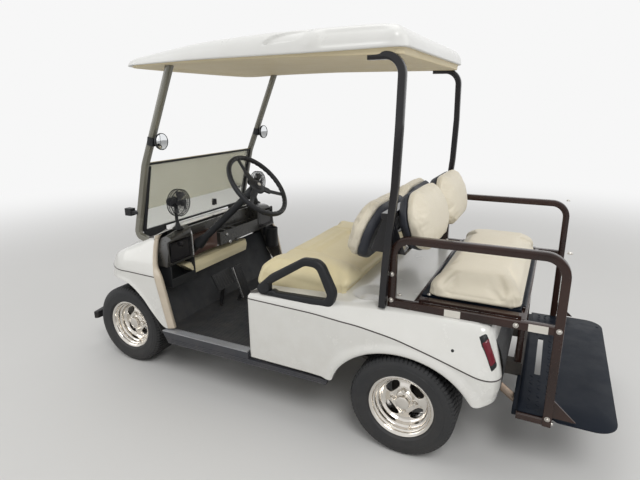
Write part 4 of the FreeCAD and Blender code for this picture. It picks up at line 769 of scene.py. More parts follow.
def makeRearBody(look):
    along = pickPlaces(rearEdge, rearReach, look["samples"])
    edge, crease = rearEdge(along), eased(rearCrease, along, 30)
    shares = np.linspace(0, 1, 26)[:, None] ** 1.4
    z = edge + (crease - edge) * shares
    wall = rearPlan(along[None], rearWall(along[None], z), z)
    hem = rearPlan(along, rearWall(along, edge) + 22, edge)[None]
    creaseInset = rearWall(along, crease)
    shoulderInset, shoulderZ = eased(rearShoulder, along, 35)
    deckInset, deckZ = eased(rearDeck, along, 35)
    upper = [rearPlan(along, creaseInset, crease),
        rearPlan(along, creaseInset + 0.8, crease + 9),
        rearPlan(along, shoulderInset, shoulderZ), rearPlan(along, (shoulderInset + deckInset) / 2,
            deckZ - 5),
        rearPlan(along, deckInset + 3, deckZ)]
    inner = rearPlan(along, np.minimum(deckInset + 30, 110), deckZ + 1)
    middle = np.stack([np.clip(inner[:, 0], -230, 640), 0 * along, 0 * along + 645], 1)
    upper += [inner] + [inner * (1 - share) + middle * share for share in (0.15, 0.4, 0.7, 1)]
    top = np.swapaxes(skin(upper, 44), 0, 1)
    cx, cy, radius, depth = look["bowl"]
    away = np.hypot(top[..., 0] - cx, top[..., 1] - cy)
    top[..., 2] -= depth * (1 - softStep(away, radius * 0.55, radius))
    grid = np.concatenate([hem, wall, top[1:]])
    parts = bothSides([surface(grid)])
    makePiece("rear_body_shell", parts, "whiteGelcoat", replaces=["rear_body"],
        thick=look["wall"] * mm, insideLook="innerShade")
    # Dark panel over the middle of the tail
    across, height = np.linspace(backStart + 4, rearReach, 50)[None], np.linspace(338, 634, 40)[:, None]
    panel = rearPlan(across + 0 * height, rearWall(across + 0 * height, height) - 2.5, height + 0 * across)
    makePiece("tail_dark_panel", bothSides([surface(panel)]), "blackPlastic",
        thick=0.003)


# Front cowl: distances run forward from the pillar round to the nose middle
cowl = {"half": 598, "noseX": 1905, "noseStart": 1560, "rearX": 1270, "samples": 250, "wall": 5,
    "edge": [(0, 318), (36, 320), (60, 352), (98, 413), (136, 466), (195, 513), (250, 542), (320, 554),
        (420, 552), (540, 546), (620, 524), (710, 450), (800, 340), (890, 280), (1060, 262)],
    "pillar": [(262, 2), (322, 16), (606, 80), (765, 130), (810, 138)],
    "hood": [(1340, 800), (1400, 797), (1450, 780), (1500, 757), (1600, 717), (1700, 679), (1800, 638),
        (1873, 606), (1905, 588)],
    "bulge": [(1400, 8), (1500, 44), (1600, 52), (1700, 42), (1800, 22), (1905, 6)],
    "back": [(0, 1400, 516, 776), (120, 1408, 508, 788), (300, 1412, 486, 797), (560, 1412, 420, 804),
        (1060, 1412, 0, 806)]}


def cowlOutline(look):
    # Quarter ellipse from the nose to the side, then straight back
    turn = np.linspace(0, np.pi / 2, 60)
    bow = np.stack([look["noseStart"] + (look["noseX"] - look["noseStart"]) * np.cos(turn),
            look["half"] * np.sin(turn), 0 * turn], 1)
    return np.concatenate([bow, [[look["rearX"], look["half"], 0]]])


cowlPlan, cowlReach = planOf(cowlOutline(cowl))


def readTable(table, at):
    table = np.asarray(table, float)
    return np.interp(at, table[:, 0], table[:, 1])


def cowlPoint(fromPillar, inset, z):
    # Point on the cowl; near the pillar the panel leans forward with height
    point = cowlPlan(cowlReach - fromPillar, inset, z)
    point[..., 0] += readTable(cowl["pillar"], point[..., 2]) * np.clip(1 - fromPillar / 330, 0, 1)
    return point


def cowlCrease(fromPillar):
    return np.interp(fromPillar, [0, 250, 700, 1060], [599, 604, 598, 590])


def hoodHeight(point):
    # Slope of the hood by x, raised by a wide bulge in the middle
    middle = 1 - softStep(np.abs(point[..., 1]), 180, 470)
    return readTable(cowl["hood"], point[..., 0]) + readTable(cowl["bulge"], point[..., 0]) * middle


def softLower(first, second, ease):
    # Smooth minimum of two heights
    return -ease * np.logaddexp(-first / ease, -second / ease)


def makeCowl(look):
    along = np.linspace(0, cowlReach, look["samples"])
    edge = eased(look["edge"], along, 12)
    crease = cowlCrease(along)
    shares = np.linspace(0, 1, 22)[:, None] ** 1.3
    z = edge + (crease - edge) * shares
    arch = 8 * np.exp(-((z - edge) / 16) ** 2) * softStep(along, 40, 110) * (1 - softStep(along, 640, 800))
    wall = cowlPoint(along[None] + 0 * z, -arch, z)
    hem = cowlPoint(along, 20 + 0 * along, edge)[None]
    upper = []
    for inset, rise in ((0, 0), (2, 14), (14, 55), (38, 106), (80, 190), (112, 230)):
        row = cowlPoint(along, inset + 0 * along, crease + rise)
        if inset > 2:
            row[..., 2] = softLower(row[..., 2], hoodHeight(row), 14)
        upper.append(row)
    back = np.stack([np.interp(along, [row[0] for row in look["back"]], [row[k] for row in look["back"]])
            for k in (1, 2, 3)], 1)
    hood = upper[-1]
    for share in (0.22, 0.45, 0.7, 0.88, 1):
        row = hood * (1 - share) + back * share
        row[..., 2] = np.where(share < 1, softLower(hoodHeight(row), row[..., 2] * 0 + 812, 10), back[:, 2])
        upper.append(row)
    top = np.swapaxes(skin(upper, 48), 0, 1)
    grid = np.concatenate([hem, wall, top[1:]])
    # Returned edge along the pillar, turned inward; its beige finish is painted shade on the white body's
    # flange
    high = softStep(grid[1:, 0, 2:3], 590, 660)
    inwards = np.array([-7.0, -4.0, 0]) * (1 - high) + np.array([-1.0, -4.0, 0]) * high
    rows = [grid[1:, 0] + inwards * k for k in range(5)]
    flange = np.stack(rows + [rows[-1] + np.array([0, -14.0, 0])], 1)
    parts = bothSides([surface(grid)])
    makePiece("front_cowl_shell", parts, "whiteGelcoat", replaces=["front_cowl"],
        thick=look["wall"] * mm, insideLook="innerShade")
    makePiece("front_cowl_returned_edge", bothSides([surface(flange)]), "shadedEdgeBeige",
        thick=0.003)


makeRearBody(rearBody)
makeCowl(cowl)
print("body shells made")


def ribbon(points, normals, width, proud):
    # Thin raised strip along points: half its width to each side and proud of the surface
    points, normals = np.asarray(points, float), np.asarray(normals, float)
    run = np.gradient(points, axis=0)
    run /= np.linalg.norm(run, axis=1, keepdims=True)
    side = np.cross(run, normals)
    side /= np.linalg.norm(side, axis=1, keepdims=True)
    rows = [points + side * (width * u) + normals * (proud * v) for u, v in ((-0.5, -1), (-0.42, 1),
            (0.42, 1), (0.5, -1))]
    return surface(np.stack(rows, 1), caps=())


def makeStripes():
    # Dark line that follows the crease of both shells
    parts = []
    along = np.linspace(604, rearReach, 260)
    crease = eased(rearCrease, along, 30)
    inset = rearWall(along, crease)
    low, high = rearPlan(along, inset - 6, crease), rearPlan(along, inset, crease)
    parts.append(ribbon(high, (low - high) / 6, 5.5, 0.9))
    along = np.linspace(0, cowlReach, 160)
    high = cowlPoint(along, 0 * along, cowlCrease(along))
    low = cowlPoint(along, -6 + 0 * along, cowlCrease(along))
    parts.append(ribbon(high, (low - high) / 6, 5.5, 0.9))
    makePiece("crease_stripes", bothSides(parts), "stripeBrown")


makeStripes()


# Padded pieces: a voxel copy is swollen by air pressure with its foot held, each point's move capped
def puff(piece, look):
    scene.frame_set(1)
    remesh = piece.modifiers.new("remesh", "REMESH")
    remesh.mode, remesh.voxel_size = "VOXEL", look["voxel"]
    graph = bpy.context.evaluated_depsgraph_get()
    mesh = bpy.data.meshes.new_from_object(piece.evaluated_get(graph))
    piece.modifiers.clear()
    material = piece.data.materials[0]
    old, piece.data = piece.data, mesh
    bpy.data.meshes.remove(old)
    mesh.name = piece.name
    mesh.materials.clear()
    mesh.materials.append(material)
    mesh.polygons.foreach_set("use_smooth", np.ones(len(mesh.polygons), bool))
    start = readPoints(mesh)
    held = piece.vertex_groups.new(name="held")
    held.add(np.nonzero(look["held"](start))[0].tolist(), 1.0, "REPLACE")
    cloth = piece.modifiers.new("cloth", "CLOTH")
    cloth.settings.use_pressure, cloth.settings.uniform_pressure_force = True, look["pressure"]
    cloth.settings.effector_weights.gravity = 0
    cloth.settings.vertex_group_mass = "held"
    cloth.settings.quality, cloth.settings.mass = 4, 0.2
    cloth.point_cache.frame_start, cloth.point_cache.frame_end = 1, 20
    for step in range(1, 21):
        scene.frame_set(step)
    graph = bpy.context.evaluated_depsgraph_get()
    move = readPoints(piece.evaluated_get(graph).data) - start
    reach = np.linalg.norm(move, axis=1, keepdims=True)
    end = start + move * np.minimum(1, look["cap"] / np.maximum(reach, 1e-9))
    piece.modifiers.clear()
    scene.frame_set(1)
    mesh.vertices.foreach_set("co", end.ravel())
    mesh.update()
    return mesh


def sew(mesh, press):
    # Moves each point along its normal by press(points in cart millimetres, normals), in millimetres
    points, normals = readPoints(mesh), np.empty(len(mesh.vertices) * 3)
    mesh.vertex_normals.foreach_get("vector", normals)
    normals = normals.reshape(-1, 3)
    points = points + normals * press(fromFrame(points), normals)[:, None] * mm
    mesh.vertices.foreach_set("co", points.ravel())
    mesh.update()


def finishPad(piece, nodes):
    smooth = piece.modifiers.new("smooth", "SUBSURF")
    smooth.levels = smooth.render_levels = 1
    if nodes:
        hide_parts(*nodes)


# Front bench: a rolled front, a dished middle panel between sewn seams and soft ends
bench = {"profile": [(325, 614, 18), (786, 609, 12), (798, 672, 60), (768, 724, 52), (640, 722, 300),
        (300, 706, 60), (236, 708, 26)],
    "half": 499, "end": 44, "cornerX": 6, "voxel": 0.0098, "pressure": 4.0, "cap": 0.022, "dish": 17,
    "seam": 5.5, "held": lambda p: p[:, 2] < 0.628}


def makeBench(look):
    # Rings of the profile at each y; near the ends they shrink inward by end (1 - sqrt(1 - t^2))
    place, reach = planOf(look["profile"], True)
    distance = np.linspace(0, reach, 240, endpoint=False)
    end = look["end"]
    t = np.concatenate([np.sin(np.linspace(-np.pi / 2, 0, 9)[:-1]), np.zeros(1)])
    inset = end * (1 - np.sqrt(1 - t ** 2))
    reachY = np.concatenate([-(look["half"] - end) + end * t, np.linspace(-look["half"] + end, 0, 16)[1:]])
    inset = np.concatenate([inset, np.zeros(15)])
    y = np.concatenate([reachY, -reachY[::-1][1:]])
    inset = np.concatenate([inset, inset[::-1][1:]])
    rings = []
    for side, shrink in zip(y, inset):
        ring = place(distance, shrink, side)
        bow = look["cornerX"] * softStep(abs(side), 360, 520)
        rings.append(np.stack([ring[:, 0] - bow * softStep(ring[:, 0], 500, 780), ring[:, 2], ring[:, 1]],
                1))
    grid = np.stack(rings, 1)
    piece = makePiece("bench_cushion", [surface(np.swapaxes(grid, 0, 1), False, True, ("first", "last"))],
        "seatCream")
    mesh = puff(piece, look)

    def press(points, normals):
        x, side = points[:, 0], np.abs(points[:, 1])
        upward = softStep(normals[:, 2], 0.2, 0.7)
        half = np.interp(x, [330, 380, 560, 640], [318, 312, 247, 244])
        dish = softStep(622 - x, 0, 52) * softStep(half - side, -2, 44)
        across = np.where(x > 555, np.abs(side - 246), 1e3)
        border = np.where(x < 560, np.abs(side - half) * 0.95, 1e3)
        level = np.where(side < 246, np.abs(x - 622), 1e3)
        seam = np.minimum(np.minimum(across, border), level)
        return -upward * (look["dish"] * dish + look["seam"] * np.exp(-(seam / 9) ** 2))
    sew(mesh, press)
    finishPad(piece, ["seat_cushion"])


# Backs: shield shaped pads on dark shells, leaning on the upper bar; outline as across, up and radius
shield = [(112, 0, 55), (214, 44, 70), (236, 178, 90), (150, 268, 95), (-150, 268, 95), (-236, 178, 90),
    (-214, 44, 70), (-112, 0, 55)]
backs = {"front": {"facing": 1, "foot": 777, "height": 270, "lean": 20, "gap": 36, "x": 110},
    "rear": {"facing": -1, "foot": 845, "height": 254, "lean": 15, "gap": 21, "x": 110},
    "bar": 1040, "spread": 250, "widen": 1.05, "shellWall": 40, "padWall": 62, "voxel": 0.0078,
    "pressure": 4.0, "cap": 0.022}


def backPlace(points, look, side):
    # Local (thickness, across, up) to the cart: up leans away over the bar's height, thickness faces on
    lean = math.radians(look["lean"])
    rise = look["foot"] - backs["bar"]
    w, u, v = points[..., 0], points[..., 1], points[..., 2] + rise / math.cos(lean)
    forward = look["gap"] + w * math.cos(lean) - v * math.sin(lean)
    return np.stack([look["x"] + look["facing"] * forward, side * backs["spread"] + u,
            backs["bar"] + w * math.sin(lean) + v * math.cos(lean)], -1)


def shieldRings(look, rows, samples=160):
    # Rings of the shield outline at (inset, thickness), closing on the middle
    scale = look["height"] / 268
    corners = [(u * backs["widen"], v * scale, r) for u, v, r in shield]
    place, reach = planOf(corners, True)
    distance = np.linspace(0, reach, samples, endpoint=False)
    out = []
    middle = np.array([0, 0.52 * look["height"]])
    for inset, thick, share in rows:
        line = place(distance, inset, thick)
        line[:, :2] = line[:, :2] * (1 - share) + middle * share
        out.append(np.stack([line[:, 2], line[:, 0], line[:, 1]], 1))
    return np.stack(out)


def makeBacks(look):
    for name in ("front", "rear"):
        one = look[name]
        wall, pad = look["shellWall"], look["padWall"]
        shellRows = [(60, 10, 0.7), (60, 9, 0.2), (48, 8, 0), (38, 2, 0), (26, 0, 0), (14, 4, 0), (5, 14, 0),
            (1, 28, 0), (0, wall - 4, 0), (3, wall, 0), (30, wall, 0), (60, wall, 0.4), (60, wall, 0.9)]
        parts = []
        for side in (1, -1):
            rings = skin(shieldRings(one, shellRows), 60)
            parts.append(surface(backPlace(np.swapaxes(rings, 0, 1), one, side), False, True,
                    ("first", "last")))
        makePiece(name + "_back_shell_pair", parts, "backShell",
            replaces=[name + "_back_shells"], sharp=60)
        padRows = [(60, wall, 0.9), (40, wall, 0.3), (8, wall, 0), (1, wall + 4, 0), (-5, wall + 18, 0),
            (-6, wall + 34, 0), (2, wall + pad * 0.78, 0), (22, wall + pad * 0.95, 0), (52, wall + pad, 0),
            (60, wall + pad + 3, 0.35), (60, wall + pad + 4, 0.9)]
        for side, label in ((1, "left"), (-1, "right")):
            rings = skin(shieldRings(one, padRows), 46)
            part = surface(backPlace(np.swapaxes(rings, 0, 1), one, side), False, True, ("first", "last"))
            piece = makePiece(name + "_back_pad_" + label, [part], "seatPale")
            centre = backPlace(np.array([wall + 6.0, 0, 0]), one, side)
            normal = backPlace(np.array([wall + 106.0, 0, 0]), one, side) - centre
            normal, start = normal / 100, cart(centre)
            mesh = puff(piece, {"voxel": look["voxel"], "pressure": look["pressure"], "cap": look["cap"],
                    "held": lambda p, n=normal, s=start: (p - s) @ n < 0})

            def press(points, normals, one=one, side=side):
                # Seam where the side wall meets the front panel
                lean = math.radians(one["lean"])
                forward = one["facing"] * (points[:, 0] - one["x"]) - one["gap"]
                up = points[:, 2] - backs["bar"]
                w = forward * math.cos(lean) + up * math.sin(lean)
                rise = (one["foot"] - backs["bar"]) / math.cos(lean)
                v = up * math.cos(lean) - forward * math.sin(lean) - rise
                u = points[:, 1] - side * backs["spread"]
                seam = np.abs(w - (wall + pad * 0.72))
                sides = softStep(np.abs(u) / 235 + np.abs(v - 140) / 300, 0.6, 0.9)
                return -2.2 * np.exp(-(seam / 7) ** 2) * sides
            sew(mesh, press)
            nodes = [name + "_backs"] if side > 0 else []
            finishPad(piece, nodes)


# Rear seat cushion: a crowned box with rounded corners in plan
rearCushion = {"corners": [(-424, -464, 62), (-46, -464, 62), (-46, 464, 62), (-424, 464, 62)], "foot": 689,
    "top": 772, "voxel": 0.0088, "pressure": 4.0, "cap": 0.022, "held": lambda p: p[:, 2] < 0.698}


def makeRearCushion(look):
    plan = planOf(look["corners"], True)
    foot, top = look["foot"], look["top"]
    rows = [(60, foot), (14, foot), (4, foot + 2), (0, foot + 12), (-3, foot + 30), (-2, top - 36),
        (8, top - 18), (26, top - 8), (58, top - 4)]
    place, reach = plan
    distance = np.linspace(0, reach, 300, endpoint=False)
    inner = place(distance, 60, 0)
    middle = np.stack([np.full(300, -235.0), np.clip(inner[:, 1], -240, 240), 0 * distance], 1)
    controls = [inner * 0.1 + middle * 0.9 + np.array([0, 0, foot])]
    controls += [place(distance, inset, height) for inset, height in rows]
    controls += [inner * (1 - share) + middle * share + np.array([0, 0, top + lift])
        for share, lift in ((0.3, 0), (0.7, 2), (1, 3))]
    grid = np.swapaxes(skin(controls, 60), 0, 1)
    piece = makePiece("rear_seat_pad", [surface(grid, False, True, ("first",))], "seatPale",
        body="rear_seat")
    mesh = puff(piece, look)

    def press(points, normals):
        # Welt a third of the way up the side
        seam = np.abs(points[:, 2] - (foot + 24))
        edge = softStep(np.abs(points[:, 1]), 380, 430) + softStep(np.abs(points[:, 0] + 235), 150, 186)
        return -2.5 * np.exp(-(seam / 6) ** 2) * np.minimum(edge, 1)
    sew(mesh, press)
    finishPad(piece, ["rear_seat_cushion"])


makeBench(bench)
makeBacks(backs)
makeRearCushion(rearCushion)
print("seats made")


# Armrests: flat moulded loops on the body edge
armrest = {"outer": [(744, 621, 26), (634, 722, 90), (465, 822, 60), (374, 824, 62), (304, 680, 60),
        (326, 614, 30), (420, 610, 200)],
    "inner": [(640, 672, 16), (640, 671, 10), (454, 789, 42), (398, 787, 34), (346, 668, 22), (362, 646, 18),
        (610, 640, 20)],
    "y": (560, 600), "round": 9}


def loopSolid(outer, inner, low, high, ease, samples=220):
    # A flat loop between two outlines in x and z, its edges eased, from y low to y high
    lines = []
    for corners in (outer, inner):
        line = evenly(roundedLine(corners, True, 10), samples, True)
        centre = line.mean(0)
        start = np.argmin(np.arctan2(line[:, 1] - centre[1], line[:, 0] - centre[0]))
        lines.append(np.roll(line, -start, axis=0))
    away = lines[1] - lines[0]
    away /= np.linalg.norm(away, axis=1, keepdims=True)
    rows = []
    for which, sign in ((0, 1), (1, -1)):
        base = lines[which]
        for inset, y in ((ease, low), (ease * 0.3, low + ease * 0.3), (0, low + ease), (0, high - ease),
                (ease * 0.3, high - ease * 0.3), (ease, high))[::1 if which == 0 else -1]:
            place = base + away * inset * sign
            rows.append(np.stack([place[:, 0], np.full(len(place), y), place[:, 1]], 1))
    return surface(np.stack(rows), True, True)


def makeArmrests(look):
    loop = loopSolid(look["outer"], look["inner"], *look["y"], look["round"])
    makePiece("armrest_loops", bothSides([loop]), "blackPlastic",
        replaces=["armrests"], sharp=50)


# Rear kit: welded rectangular tube with blank plates, deck board edges and a tread plate
kit = {"y": 520, "width": 30, "depth": 32, "front": 79, "rear": -556, "top": 938, "bend": 74, "deck": 660,
    "postFoot": 262, "crossX": (-25, -427), "blank": [(-142, -205), (-452, -520)], "corner": 3}


def makeKit(look):
    ring = squareRing(look["width"], look["depth"], look["corner"], 2)
    y, half = look["y"], look["depth"] / 2
    front, rear = look["front"], look["rear"]
    hoop = tube([(front, y, look["deck"] - half), (front, y, look["top"]), (rear, y, look["top"]),
            (rear, y, look["postFoot"])],
        look["bend"], 0, (0, 1, 0), ring, 12)
    side = tube([(front - half, y, look["deck"]), (rear + half, y, look["deck"])], 0, 0, (0, 1, 0), ring)
    parts = bothSides([hoop, side])
    for x in look["crossX"]:
        parts.append(tube([(x, -y + 15, look["deck"]), (x, y - 15, look["deck"])], 0, 0, (1, 0, 0), ring))
    parts.append(tube([(rear, -y + 15, 268), (rear, y - 15, 268)], 0, 0, (1, 0, 0), ring))
    legRing = squareRing(30, 28, 3, 2)
    parts += bothSides([tube([(-422, 200, 341), (-422, 200, 646)], 0, 0, (0, 1, 0), legRing)])
    ear = block((-432.5, 408, 660), (-423.5, 416, 686.8))
    pin = turned([(0, 0), (3, 0), (3, 36), (0, 36)], (-428, 380, 682.3), (0, 1, 0), 16)
    gusset = [np.array([(rear - 16, y - 4, 300), (rear - 16, y - 4, 372), (rear - 96, y - 4, 300),
                (rear - 16, y + 4, 300), (rear - 16, y + 4, 372), (rear - 96, y + 4, 300)], float),
        [[0, 1, 2], [5, 4, 3], [0, 3, 4, 1], [1, 4, 5, 2], [2, 5, 3, 0]]]
    bar = tube([(-444, y - 4, 273), (rear, y - 4, 273)], 0, 0, (0, 1, 0), squareRing(24, 24, 3, 2))
    strip = block((-424, 472, 676), (-30, 505, 687))
    parts += bothSides([ear, pin, tuple(gusset), bar, strip])
    makePiece("kit_frame_tubes", parts, "kitEnamel", replaces=["kit_frame"], sharp=35)
    plates = [block((x1, y + 15.2, look["deck"] - 15), (x0, y + 16.4, look["deck"] + 15))
        for x0, x1 in look["blank"]]
    makePiece("kit_blank_plates", plates, "plateBlank", bevel=0.0005)


def hexBolt(place, normal, radius, height):
    # Washer and domed bolt head on a face
    profile = [(0, 0), (radius * 1.5, 0), (radius * 1.5, 1.4), (radius, 1.6), (radius, height * 0.7),
        (radius * 0.75, height), (0, height * 1.15)]
    return turned(profile, place, normal, 12)


def makeKitBolts(look):
    y = look["y"] + 15
    places = [((79, y, 676), (0, 1, 0)), ((79, y, 790), (0, 1, 0)), ((96, y - 6, 700), (1, 0, 0)),
        ((-409, y, 660), (0, 1, 0)), ((-556, y, 664), (0, 1, 0)), ((-556, y, 296), (0, 1, 0)),
        ((-572, y - 20, 268), (-1, 0, 0)), ((-556, y - 16, 955), (0, 0, 1)), ((60, y - 60, 677), (0, 0, 1)),
        ((-60, y - 90, 689), (0, 0, 1)), ((-380, y - 92, 689), (0, 0, 1)), ((-408, 200, 560), (1, 0, 0))]
    parts = bothSides([hexBolt(place, normal, 7, 7) for place, normal in places])
    makePiece("kit_bolts", parts, "boltZinc")


# Footplate: tread plate with bowed rear corners, raised diamonds, a slot and a folded edge
footplate = {"front": -446, "rear": -797, "half": 511, "wide": 528, "round": 84, "z": (284, 291),
    "pitch": 32, "slot": (-506, 10, 12, 190)}


def makeFootplate(look):
    low, high = look["z"]
    front, rear, half, wide = look["front"], look["rear"], look["half"], look["wide"]
    side = [(front, half, 6), (-574, half + 2, 12), (-592, wide, 20), (rear, wide, look["round"])]
    corners = [(x, -y, r) for x, y, r in side[::-1]] + side
    place, reach = planOf(corners, True)
    distance = np.linspace(0, reach, 640, endpoint=False)
    outline = place(distance, 2, 0)
    # Slot: each outline point looks at the slot's middle and stops at the slot's edge
    sx, sy, slotWide, slotLong = look["slot"]
    away = outline[:, :2] - (sx, sy)
    share = np.minimum(slotWide / np.maximum(np.abs(away[:, 0]), 1e-6),
        slotLong / np.maximum(np.abs(away[:, 1]), 1e-6))
    slot = np.stack([sx + away[:, 0] * share, sy + away[:, 1] * share, 0 * share], 1)
    rows = [slot * (1 - s) + outline * s + np.array([0, 0, low]) for s in (0, 0.3, 0.7)]
    rows += [place(distance, inset, z) for inset, z in ((2, low), (0, low + 1.5), (0, high - 1.5),
            (2, high))]
    rows += [slot * (1 - s) + outline * s + np.array([0, 0, high]) for s in (0.7, 0.3, 0)]
    parts = [surface(np.stack(rows), True, True)]
    pitch = look["pitch"]
    xs, ys = np.meshgrid(np.arange(look["rear"] + 24, look["front"] - 14, pitch),
        np.arange(-512, 513, pitch), indexing="ij")
    for x, y in zip(xs.ravel(), ys.ravel()):
        half = np.interp(x, [rear + 15, rear + 80, -600, -575], [wide - 85, wide - 24, wide - 24,
                look["half"] - 18])
        if abs(y) > half or (abs(x - sx) < slotWide + 14 and abs(y - sy) < slotLong + 14):
            continue
        odd = (round((x - look["rear"]) / pitch) + round((y + 480) / pitch)) % 2
        angle = math.radians(45 if odd else -45)
        long, wide = 12.5, 3.6
        ring = np.array([(long, 0), (0, wide), (-long, 0), (0, -wide)])
        turn = np.array([[math.cos(angle), -math.sin(angle)], [math.sin(angle), math.cos(angle)]])
        flat, ridge = ring @ turn.T + (x, y), ring * 0.45 @ turn.T + (x, y)
        points = np.concatenate([np.c_[flat, np.full(4, high - 0.2)], np.c_[ridge, np.full(4, high + 1.6)]])
        parts.append((points, [[0, 1, 5, 4], [1, 2, 6, 5], [2, 3, 7, 6], [3, 0, 4, 7], [4, 5, 6, 7]]))
    x, y, z = look["front"] + 8, look["half"] - 12, low - 13
    edge = tube([(x, -y, z), (x, y, z)], 0, 0, (1, 0, 0), squareRing(22, 26, 2, 1))
    makePiece("footplate_tread", parts + [edge], "plateBlack", replaces=["footplate"],
        outward=False, weld=False)


# Roof struts: square tube with eased corners
struts = {"front": [(1424, 494, 752), (1534, 487, 778), (1541, 486, 806), (1447, 481, 1164),
        (1226, 474, 1652)],
    "rear": [(110, 552, 646), (100, 552, 842), (72, 551, 1150), (64, 548, 1380), (64, 528, 1636),
        (205, 512, 1638)],
    "size": 30, "corner": 4}


def makeStruts(look):
    ring = squareRing(look["size"], look["size"], look["corner"], 2)
    front = tube(look["front"], [0, 26, 26, 110, 0], 0, (0, 1, 0), ring, 10)
    rear = tube(look["rear"], [0, 300, 300, 300, 74, 0], 0, (0, 1, 0), ring, 14)
    # The front struts take the lighter bronze finish, a painted highlight for sun glare on black paint
    makePiece("front_strut_tubes", bothSides([front]), "strutGlareBronze",
        replaces=["front_struts"], sharp=35)
    makePiece("rear_strut_tubes", bothSides([rear]), "glossBlack",
        replaces=["rear_struts"], sharp=35)


makeArmrests(armrest)
makeKit(kit)
makeKitBolts(kit)
makeFootplate(footplate)
makeStruts(struts)
print("frames made")


# Wheels: tread blocks on the tyre, a stepped chrome barrel, four windows, nuts, cap and valve
wheel = {"tread": 229.3, "lugs": 76, "perLug": 8, "cut": 4.2, "grooves": (-52, -18, 18, 52),
    "grooveHalf": 2.4, "grooveDeep": 5.5, "discX": 27, "window": (77, 19, 27), "bolts": 50.8}
corners = {"front_left": (frontAxle, 432, 1), "front_right": (frontAxle, -432, -1),
    "rear_left": (rearAxle, 522, 1), "rear_right": (rearAxle, -522, -1)}


def tyrePart(look, centre, side):
    # Profile across the tread; lateral cuts part the shoulder lugs, none or cut deep at each angle
    across = [-76, -82, -90, -93.5, -98, -99, -101.5, -102.3, -101.3, -101.3, -100, -96.5, -95.5, -92, -88,
        -84, -80, -70]
    radius = [128.5, 143, 143.6, 147, 152, 160, 174, 188, 189, 200, 203, 214, 214.6, 219, 224, 227.2, 228.4,
        228.9]
    for place in look["grooves"]:
        half, deep = look["grooveHalf"], look["grooveDeep"]
        across += [place - half - 0.6, place - half, place + half, place + half + 0.6]
        radius += [look["tread"], look["tread"] - deep, look["tread"] - deep, look["tread"]]
        if place < 50:
            across += [place + 17]
            radius += [look["tread"] + 0.1]
    ends = [(-place, radial) for place, radial in zip(across[:18], radius[:18])][::-1]
    across, radius = across + [place for place, radial in ends], radius + [radial for place, radial in ends]
    across, radius = across + [60, -60], radius + [122, 122]
    profile = np.stack([radius, across], 1)

    def shape(radius, along, turn):
        step = np.arange(len(turn))[:, None]
        shift = np.where(np.abs(along) > 53, 0, np.where(np.abs(along) > 19, 3, 6))
        phase = (step + shift + np.where(along > 0, 4, 0)) % look["perLug"]
        ground = radius > 226
        shoulder = (np.abs(along) > 53) & (radius > 217)
        depth = look["cut"] * np.where(shoulder, phase < 2, (phase < 1) & ground)
        return radius - depth * (radius > 217), along
    return turned(profile, centre, (0, side, 0), look["lugs"] * look["perLug"], shape)


def rimDisc(look, centre, side, depth, outward):
    # Four patches; each runs from the window's ellipse to its square of radius and angle
    r0, r1 = 36.0, 101.0
    rc, halfR, halfA = look["window"]
    turn = around(56)
    square = np.stack([np.cos(turn), np.sin(turn)], 1)
    square /= np.abs(square).max(1, keepdims=True)
    mid, span = (r0 + r1) / 2, (r1 - r0) / 2
    wide, high = [np.sign(wave) * np.abs(wave) ** 0.8 for wave in (np.cos(turn), np.sin(turn))]
    hole = np.stack([wide * halfA / 45, (rc - mid) / span + high * halfR / span], 1)
    shares = np.array([0, 0, 0.05, 0.14, 0.3, 0.55, 0.8, 1.0])[:, None, None]
    place = hole * (1 - shares) + square * shares
    drop = np.array([9, 2.5, 0.7, 0, 0, 0, 0, 0])[:, None] * (1 if outward else 0)
    radius = mid + span * place[..., 1]
    rise = 5 * np.exp(-((radius - 56) / 16) ** 2) - 4 * np.exp(-((radius - 88) / 14) ** 2)
    along = depth + rise * outward - drop
    behind = centre + np.array([0, side * (-60 if outward else 60), 0])
    parts = []
    for quarter in range(4):
        angle = np.radians(45 + 90 * quarter + 45 * place[..., 0])
        points = centre + np.stack([radius * np.cos(angle), side * along, radius * np.sin(angle)], -1)
        parts.append(facing(surface(points, False, True), behind))
    return parts


def rimParts(look, centre, side):
    axis, centre = np.array([0, side, 0.0]), np.asarray(centre, float)
    barrel = [(96, 20), (100, 26), (104, 29), (107, 31.5), (108.5, 36), (109, 47), (110, 50),
        (116, 52.5), (118, 55), (119, 66), (120, 69), (124, 71), (126, 73), (127.5, 80), (130, 84),
        (134, 86), (137, 87.6), (140, 88.9), (142, 88), (142.4, 85), (141, 82), (136, 80), (131, 77),
        (128, 70), (127, 0), (127, -70), (131, -77), (141, -82), (142, -87), (138, -88.5), (132, -84),
        (124, -74), (121, -40), (114, 18), (100, 18)]
    parts = [turned(barrel, centre, axis, 128)]
    parts += rimDisc(look, centre, side, look["discX"], True) + rimDisc(look, centre, side, 19, False)
    hub = [(0, 16), (40, 16), (41, 28), (38, 31.5), (34, 33), (34, 36), (31, 38), (30.5, 56), (29, 59.5),
        (25, 61.5), (14, 62.6), (0, 63)]
    parts.append(turned(hub, centre, axis, 64))
    for turn in np.radians((0, 90, 180, 270)):
        foot = centre + look["bolts"] * np.array([math.cos(turn), 0, math.sin(turn)]) + axis * look["discX"]
        parts.append(turned([(14, 0), (14, 5.5), (12.5, 6.5), (11, 6), (10.6, 7)], foot, axis, 24))
        parts.append(turned([(10.4, 5), (10.4, 16), (9, 19), (6, 21.5), (0, 22.5)], foot, axis, 6))
    valve = centre + 113 * np.array([math.cos(-1.9), 0, math.sin(-1.9)])
    parts.append(turned([(4.5, 40), (4.5, 62), (3.6, 64), (3.6, 76), (3, 78), (0, 78)], valve, axis, 14))
    return parts


